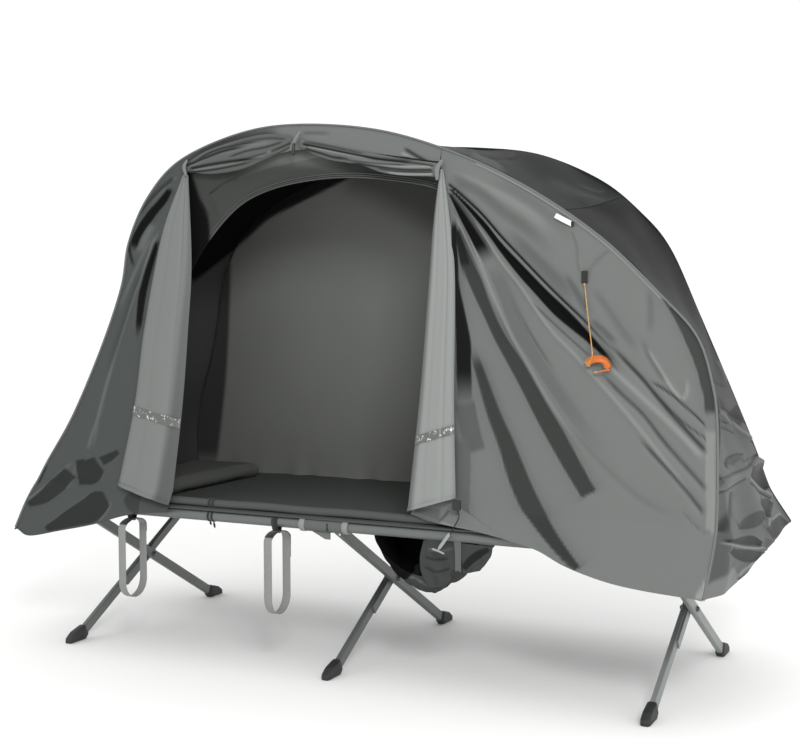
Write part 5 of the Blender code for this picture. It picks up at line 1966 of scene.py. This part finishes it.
    def valance(self) -> None:
        """Two gathered swags, the ties that hold them and the middle toggle."""
        left = self.swag("valance_swag_left",
                         TENT.photo_line("184,165 206,151 238,140 266,134 291,136", 0.006),
                         TENT.photo_line("185,171 210,174 239,170 264,160 293,145", 0.006),
                         self.left_folds, 0.34)
        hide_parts("valance_roll")
        self.swag("valance_swag_right", TENT.photo_line("299,139 330,145 366,152 400,158 437,163", 0.006),
                  TENT.photo_line("299,147 326,159 360,165 388,174 437,177", 0.006), self.right_folds, 0.16)
        for name, pixels, radius in (("left", "187,160 184,167 186,176", 0.0050),
                                     ("middle", "300,131 295,140 290,150", 0.0050),
                                     ("right", "442,160 437,169 437,180", 0.0065)):
            def ring(share: float) -> Array:
                """The tie's section: a folded tape, thicker in its middle."""
                size = radius * (0.55 + 0.45 * math.sin(math.pi * share))
                folded = 1.0 + 0.14 * np.cos(3.0 * np.linspace(0.0, math.tau, 14, endpoint=False))
                return oval(size, size * 0.8, 14) * folded[:, None]
            route = TENT.photo_line(pixels, 0.014).spread(12)
            soft_ride(sweep(f"valance_tie_{name}", route, ring, LINING, ACROSS))

        def bead(share: float) -> Array:
            """The toggle's section: a bar with rounded ends and a waist."""
            waist = 0.85 + 0.15 * abs(2.0 * share - 1.0)
            size = 0.0042 * math.sqrt(max(1.0 - (2.0 * share - 1.0) ** 8, 0.04)) * waist
            return oval(size, size, 14)
        route = TENT.photo_line("293.5,143.0 293.5,155.5", 0.022).spread(14)
        soft_ride(sweep("valance_toggle", route, bead, BLACK_PLASTIC, ACROSS))

    def build(self) -> None:
        """Make the drapes."""
        self.curtains()
        self.valance()


@dataclass
class Hangings:
    """Webbing loops and the storage pouch under the near rail."""

    loops_x: tuple[float, float] = (-0.643, -0.166)
    rail_y: float = RAIL_Y
    rail_z: float = RAIL_Z
    bottom: float = 0.157
    half_y: float = 0.047
    loop_top: float = 0.378
    loop_rise: float = 0.024
    strap: tuple[float, float] = (0.025, 0.0018)
    sling_radius: float = 0.0152
    ties_x: tuple[float, ...] = (-0.378, -0.366)
    pouch_folds: tuple[Crease, ...] = (
        # Painted black shade inside at the pillow's side, and painted light on the rim
        Pleat("372,530 381,552 391,572 404,574", "426,530 425,550 422,566 419,577", 0, 0.97, 1.5, 3.0, 1.0,
              0.0, 0.03),
        Fold("391,573 402,575 414,578 428,587", 2, 1.6, -0.35, 0.05, 0.05),
    )
    tuck_folds: tuple[Crease, ...] = (
        # Painted shade in the tuck's creases and a painted highlight
        Fold("424,556 436,560 450,558", -2, 1.8, 0.45, 0.15, 0.15),
        Fold("423,566 436,572 452,568", -2, 1.8, 0.4, 0.15, 0.15),
        Fold("426,548 440,551 454,548", 2, 2.0, -0.25, 0.15, 0.15),
    )
    flap_folds: tuple[Crease, ...] = (
        # Painted shade on the flap's lower fold
        Pleat("464,573 471,565 480,558 491,550", "462,566 468,558 477,551 489,547", -2, 0.7, 1.5, 3.0),
    )

    def loops(self) -> None:
        """Two webbing loops, each hung from a black sling round the rail."""
        turn = np.linspace(0.0, math.pi, 13)
        wide, rail = self.half_y, "near_rail"
        for name, x in zip(("left", "right"), self.loops_x):
            def lay(points: list, count: int) -> Points:
                """Places beside the rail, as a route at the loop's x."""
                flat = Line(points).spread(count)
                return np.stack([np.full(count, x), flat[:, 0] - self.rail_y, flat[:, 1]], axis=1)

            over = [(wide * math.cos(a), self.loop_top - self.loop_rise * (1.0 - math.sin(a))) for a in turn]
            under = [(-wide * math.cos(a), self.bottom + wide * (1.0 - math.sin(a))) for a in turn]
            heights = (0.320, 0.290, 0.260, 0.230)
            sides = [(-wide, z) for z in heights] + under + [(wide, z) for z in reversed(heights)]
            route = lay(over + sides + over[:1], 150)
            loop = sweep(f"webbing_loop_{name}", route[:-1], strap_ring(*self.strap), WEBBING, ALONG, True)
            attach(loop, rail)
            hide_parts(f"strap_loop_{name}")
            cover = [(a * 1.03, z + 0.0014) for a, z in [(wide, self.loop_top - 0.044)] + over[:-2]]
            ring = strap_ring(self.strap[0] + 0.001, THIN)
            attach(sweep(f"loop_top_{name}", lay(cover, 40), ring, TAPE, ALONG), rail)
            around = [(self.sling_radius * math.cos(a), self.rail_z + self.sling_radius * math.sin(a))
                      for a in np.linspace(math.radians(-25.0), math.radians(205.0), 17)]
            foot = self.loop_top - 0.003
            below = [(-0.0085, 0.384), (-0.004, foot), (0.004, foot), (0.0085, 0.384)]
            route = lay(around + below + around[:1], 60)
            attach(sweep(f"loop_sling_{name}", route[:-1], strap_ring(0.019, THIN), TAPE, ALONG, True), rail)
        flap = np.array([(self.loops_x[1], wide - self.rail_y + 0.0022, z)
                         for z in (0.362, 0.345, 0.325, 0.302)])
        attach(sweep("loop_flap", flap, strap_ring(self.strap[0] + 0.001, 0.0022), WEBBING, ALONG), rail)

    def pouch(self) -> None:
        """The pouch: a sagging cloth hammock with an open mouth."""
        x_low, x_high, y_low, y_high = 0.125, 0.415, -0.352, -0.215
        top, drop, depth, ends, blunt, tuck = 0.3894, 0.095, 0.150, 0.04, 0.65, 0.015

        def place(s: Array, t: Array) -> Points:
            """The pouch's cloth, t running from the near rim under to the far rim."""
            swell = np.sin(math.pi * (ends + (1.0 - 2.0 * ends) * s ** 0.75)) ** blunt
            turn = math.pi * t
            x = x_low + (x_high - x_low) * s + tuck * np.clip((0.5 - s) * 20.0, -1.0, 1.0) * np.sin(turn)
            y = y_low + (y_high - y_low) * (1.0 - np.cos(turn)) / 2.0
            front = (1.0 - t) ** 2
            lift = np.maximum(np.sin(math.pi * s), 0.0) ** blunt
            rim = top - drop * lift * front
            sunk = (depth - drop * front) * swell * np.maximum(np.sin(turn), 0.0) ** blunt
            return np.stack([x, y, rim - sunk], axis=-1)

        def uneven(s: Array, t: Array, flat: Points) -> Array:
            """Gathers below the rim and slack lower down."""
            return 0.004 * ripple(s * 5.0, t * 1.6, 71) + 0.003 * ripple(s * 11.0, t, 72)

        Panel("pouch_cloth", 110, 90, place, POUCH, (0.0, -0.6, -1.0), self.pouch_folds, uneven,
              thickness=THIN, pinned=(0.06, 0.06, 0.04, 0.04)
              ).lay("storage_pouch", ["near_rail_right"], Held.HUNG, "near_rail")
        for name, end in (("left", 0.0), ("right", 1.0)):
            def gusset(s: Array, t: Array) -> Points:
                """From the pouch's end edge straight up to its rim."""
                edge = place(np.full_like(s, end), s)
                edge[:, 2] += (top - edge[:, 2]) * t
                return edge
            Panel(f"pouch_gusset_{name}", 30, 12, gusset, POUCH, (2.0 * end - 1.0, 0.0, 0.0),
                  self.pouch_folds, pinned=LOOSE, thickness=THIN).lay(body="near_rail")

    def patch(self, name: str, left: str, right: str, finish: Finish, y: float, folds: Sequence[Crease] = (),
              slack: float = 0.0) -> None:
        """A piece of cloth in front of the pouch, between two edges seen in the photograph.

        Args:
            name: the piece's name.
            left: its left edge from the top down, as a text of pixels.
            right: its right edge.
            finish: what it is made of.
            y: how far out it hangs.
            folds: its creases.
            slack: how deep its crumples are, in metres.
        """
        edges = [Line([PHOTO.on_plane(pixel, ACROSS, y) for pixel in pairs(edge)]).at
                 for edge in (left, right)]
        Panel(name, 40, 50, lambda s, t: between(*edges)(1.0 - t, s), finish, NEARWARD, folds,
              lambda s, t, flat: slack * ripple(s * 1.6, t * 2.6, 81), pinned=(0.05, 0.05, 0.05, 0.05),
              thickness=THIN).lay(body="near_rail")

    def pouch_trim(self) -> None:
        """The pouch's folded cloth, its flap and its strap, each a little further out."""
        self.patch("pouch_tuck", "424,539 420,556 421,572 428,588", "456,541 456,558 454,574 446,586", POUCH,
                   -0.3570, self.tuck_folds, 0.004)
        self.patch("pouch_flap", "459,543 461,558 463,574", "493,547 490,558 480,571", POUCH, -0.3590,
                   self.flap_folds, 0.002)
        self.patch("pouch_strap", "454,541 455,558 455,573", "461,542 461,558 461,572", STRAP, -0.3615)
        self.patch("pouch_strap_end", "451,572 452,576 454,580", "459,571 459,576 458,580", TAPE, -0.3630)

    def toggle(self) -> None:
        """The buckle at the right curtain's foot, its elastic and the pale T toggle."""
        def at(pixels: str) -> Array:
            """Places in front of the rail that show at a text of pixels."""
            return np.array([PHOTO.on_plane(pixel, ACROSS, -0.380) for pixel in pairs(pixels)])

        low, high = at("452.5,510 460.5,500.5")
        deep = np.array([0.0, 0.004, 0.0])
        buckle = rounded_block("buckle", low - deep, high + deep, 0.0022, BLACK_PLASTIC)
        route = Line(at("457,509 459,517 454,527 449.5,535")).spread(24)
        cord = sweep("toggle_elastic", route, round_ring(0.0014), ELASTIC, ACROSS)
        makes = (("stem", "450,533 444,541.5 438,550", 10, 0.0046),
                 ("bar", "431.5,548.5 438,551 444.5,554", 14, 0.0026))
        stem, bar = (sweep(f"toggle_{name}", Line(at(pixels)).spread(count), self.bar(radius),
                           PALE_PLASTIC, ACROSS) for name, pixels, count, radius in makes)
        for piece in (buckle, cord, stem, bar):
            soft_ride(piece)
        Line(route).length

    def bar(self, radius: float) -> Ring:
        """A moulded bar's section, rounded off at its ends."""
        def ring(share: float) -> Array:
            """The section at a share of the bar."""
            size = radius * math.sqrt(max(1.0 - (2.0 * share - 1.0) ** 6, 0.05))
            return oval(size, size * 0.6)
        return ring

    def rail_tie(self) -> None:
        """The black tape ties round the rail and round the deck's edge roll, with their short ends."""
        turn = np.linspace(0.0, math.tau, 41)[:-1]
        for index, x in enumerate(self.ties_x):
            for name, y, z, size in (("rail", -self.rail_y, self.rail_z, 0.0150),
                                     ("roll", ROLL_Y, ROLL_Z, 0.0118)):
                route = np.stack([np.full(40, x), y + size * np.cos(turn), z + size * np.sin(turn)], axis=1)
                tie = sweep(f"{name}_tie_{index}", route, strap_ring(0.007, THIN), TAPE, ALONG, True)
                if name == "rail":
                    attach(tie, "near_rail")
                else:
                    soft_ride(tie)
            drop = 0.010 + 0.008 * index
            tail = np.array([(x + 0.0015 * k, -self.rail_y - 0.003, self.rail_z - 0.0145 - drop * k / 3.0)
                             for k in range(4)])
            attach(sweep(f"rail_tie_end_{index}", tail, self.bar(0.0034), TAPE, ACROSS), "near_rail")

    def build(self) -> None:
        """Make the hangings."""
        self.loops()
        self.pouch()
        self.pouch_trim()
        self.toggle()
        self.rail_tie()


@dataclass
class Guylines:
    """A tape tab, a cord and the hank that its end is wound into, at each near corner."""

    radius: float = 0.0014
    turns: int = 25
    turn_points: int = 15
    turn_wide: float = 0.0080
    turn_deep: float = 0.0067
    arc: tuple[tuple[float, float], ...] = (
        (-0.0285, -0.0080), (-0.0215, 0.0030), (-0.0080, 0.0075), (0.0080, 0.0065), (0.0185, -0.0010),
        (0.0225, -0.0120), (0.0205, -0.0170))
    tail: tuple[tuple[float, float], ...] = ((0.0130, -0.0200), (0.0040, -0.0225), (-0.0060, -0.0240))
    tail_out: float = 0.0060

    def hank(self, middle: Array, wide: Array, out: Array) -> list:
        """The hank's turns, along a drooping arc.

        Args:
            middle: the hank's middle.
            wide: the way it is long.
            out: the way it faces.

        Returns:
            The places of its cord, with a short tail.
        """
        line = Line(self.arc)
        upright = np.array(UPWARD)
        route = []
        for step in range(self.turns * self.turn_points):
            share = step / (self.turns * self.turn_points - 1.0)
            turn = math.pi / 2.0 + math.tau * step / self.turn_points
            across, height = line.at(share)
            ahead = line.at(share + 0.01) - line.at(share - 0.01)
            ahead /= np.linalg.norm(ahead)
            full = 0.80 + 0.20 * math.sin(math.pi * min(share * 4.0, (1.0 - share) * 4.0, 0.5))
            sideways = self.turn_wide * full * math.cos(turn)
            route.append(middle + wide * (across - ahead[1] * sideways)
                         + upright * (height + ahead[0] * sideways)
                         + out * self.turn_deep * full * math.sin(turn))
        for across, height in self.tail:
            route.append(middle + wide * across + upright * height + out * self.tail_out)
        return route

    def knot(self, name: str, place: Array, way: Sequence[float], finish: Finish) -> Piece:
        """A small overhand knot, drawn up tight into a lump."""
        def ring(share: float) -> Array:
            """The lump's section, with the cord's turns on it."""
            size = 0.0027 * math.sqrt(max(1.0 - (2.0 * share - 1.0) ** 4, 0.10))
            size *= 1.0 + 0.10 * math.cos(share * 18.0)
            return oval(size, size)
        route = np.array([np.array(place) + np.array(way) * 0.0035 * k for k in np.linspace(-1.0, 1.0, 11)])
        return soft_ride(sweep(name, route, ring, finish, (0.3, 1.0, 0.2)))

    def build(self) -> None:
        """Make both guylines."""
        left = np.array((-1.0, 0.0, 0.0))
        near = np.array(NEARWARD)
        for side, wide, out, finish in (("right", -left, near, GUY), ("left", near, left, GUY_PALE)):
            boxes = {node: [np.array(corner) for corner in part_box(f"guy_{node}_{side}")]
                     for node in ("tab", "cord", "hank")}
            tab = rounded_block(f"tab_{side}", *boxes["tab"], 0.0012, TAPE)
            soft_ride(tab)
            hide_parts(f"guy_tab_{side}")
            start = sum(boxes["tab"]) / 2.0
            start[2] = boxes["tab"][0][2] - 0.0008
            turns = self.hank(sum(boxes["hank"]) / 2.0, wide, out)
            upright = np.array(UPWARD)
            hung = boxes["hank"][0] / 2.0 + boxes["hank"][1] / 2.0 - wide * 0.0130 + out * 0.0100
            above, beside_turns = hung + upright * 0.0240, hung - wide * 0.0040 + upright * 0.0060
            middle = (start + above) / 2.0 + out * 0.002
            line = Line([start, middle, above, beside_turns, *turns])
            route = line.spread(self.turns * self.turn_points + 60)
            cord = sweep(f"cord_{side}", route, round_ring(self.radius, 8), finish, (0.2, 1.0, 0.1))
            soft_ride(cord)
            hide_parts(f"guy_cord_{side}", f"guy_hank_{side}")
            end = self.knot(f"cord_end_{side}", route[-1], -wide, finish)
            top = self.knot(f"cord_top_{side}", start - upright * 0.0025, -upright, finish)


@dataclass
class Studio:
    """A pale floor, an even pale sky and one soft light."""

    floor_colour: str = "#FBFBFA"
    floor_size: float = 40.0
    sky: float = 1.06
    key_place: Place = (3.2, -4.6, 3.6)
    key_aim: Place = (0.1, 0.0, 0.8)
    key_size: float = 1.4
    key_power: float = 170.0

    def key(self) -> None:
        """A square soft light aimed at the tent."""
        data = bpy.data.lights.new("key", "AREA")
        data.size = self.key_size
        data.energy = self.key_power
        lamp = bpy.data.objects.new("key", data)
        lamp.location = self.key_place
        away = Vector(self.key_aim) - Vector(self.key_place)
        lamp.rotation_euler = away.to_track_quat("-Z", "Y").to_euler()
        bpy.context.scene.collection.objects.link(lamp)

    def build(self) -> None:
        """Set up floor, sky and light."""
        scene = bpy.context.scene
        scene.view_settings.view_transform = "Standard"
        world = bpy.data.worlds.new("pale_sky")
        scene.world = world
        world.use_nodes = True
        back = world.node_tree.nodes["Background"]
        back.inputs["Color"].default_value = (1.0, 1.0, 1.0, 1.0)
        back.inputs["Strength"].default_value = self.sky
        deselect()
        bpy.ops.mesh.primitive_plane_add(size=self.floor_size, location=(0.0, 0.0, -0.0005))
        floor = bpy.context.object
        dress(floor, "studio_floor", Finish("matt_floor", self.floor_colour, "", 0.9))
        self.key()


def main() -> None:
    """Build every sub-assembly in order and report it."""
    logging.basicConfig(level=logging.INFO, format="%(message)s")
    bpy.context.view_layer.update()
    PHOTO.build()
    for assembly in (Guylines(), CotFrame(), Bed(), Poles(), InnerTent(), Fly(), DoorDrapes(), Hangings(),
                     Studio()):
        assembly.build()
        log.info("built %s", type(assembly).__name__)
    deselect()


if __name__ == "__main__":
    main()
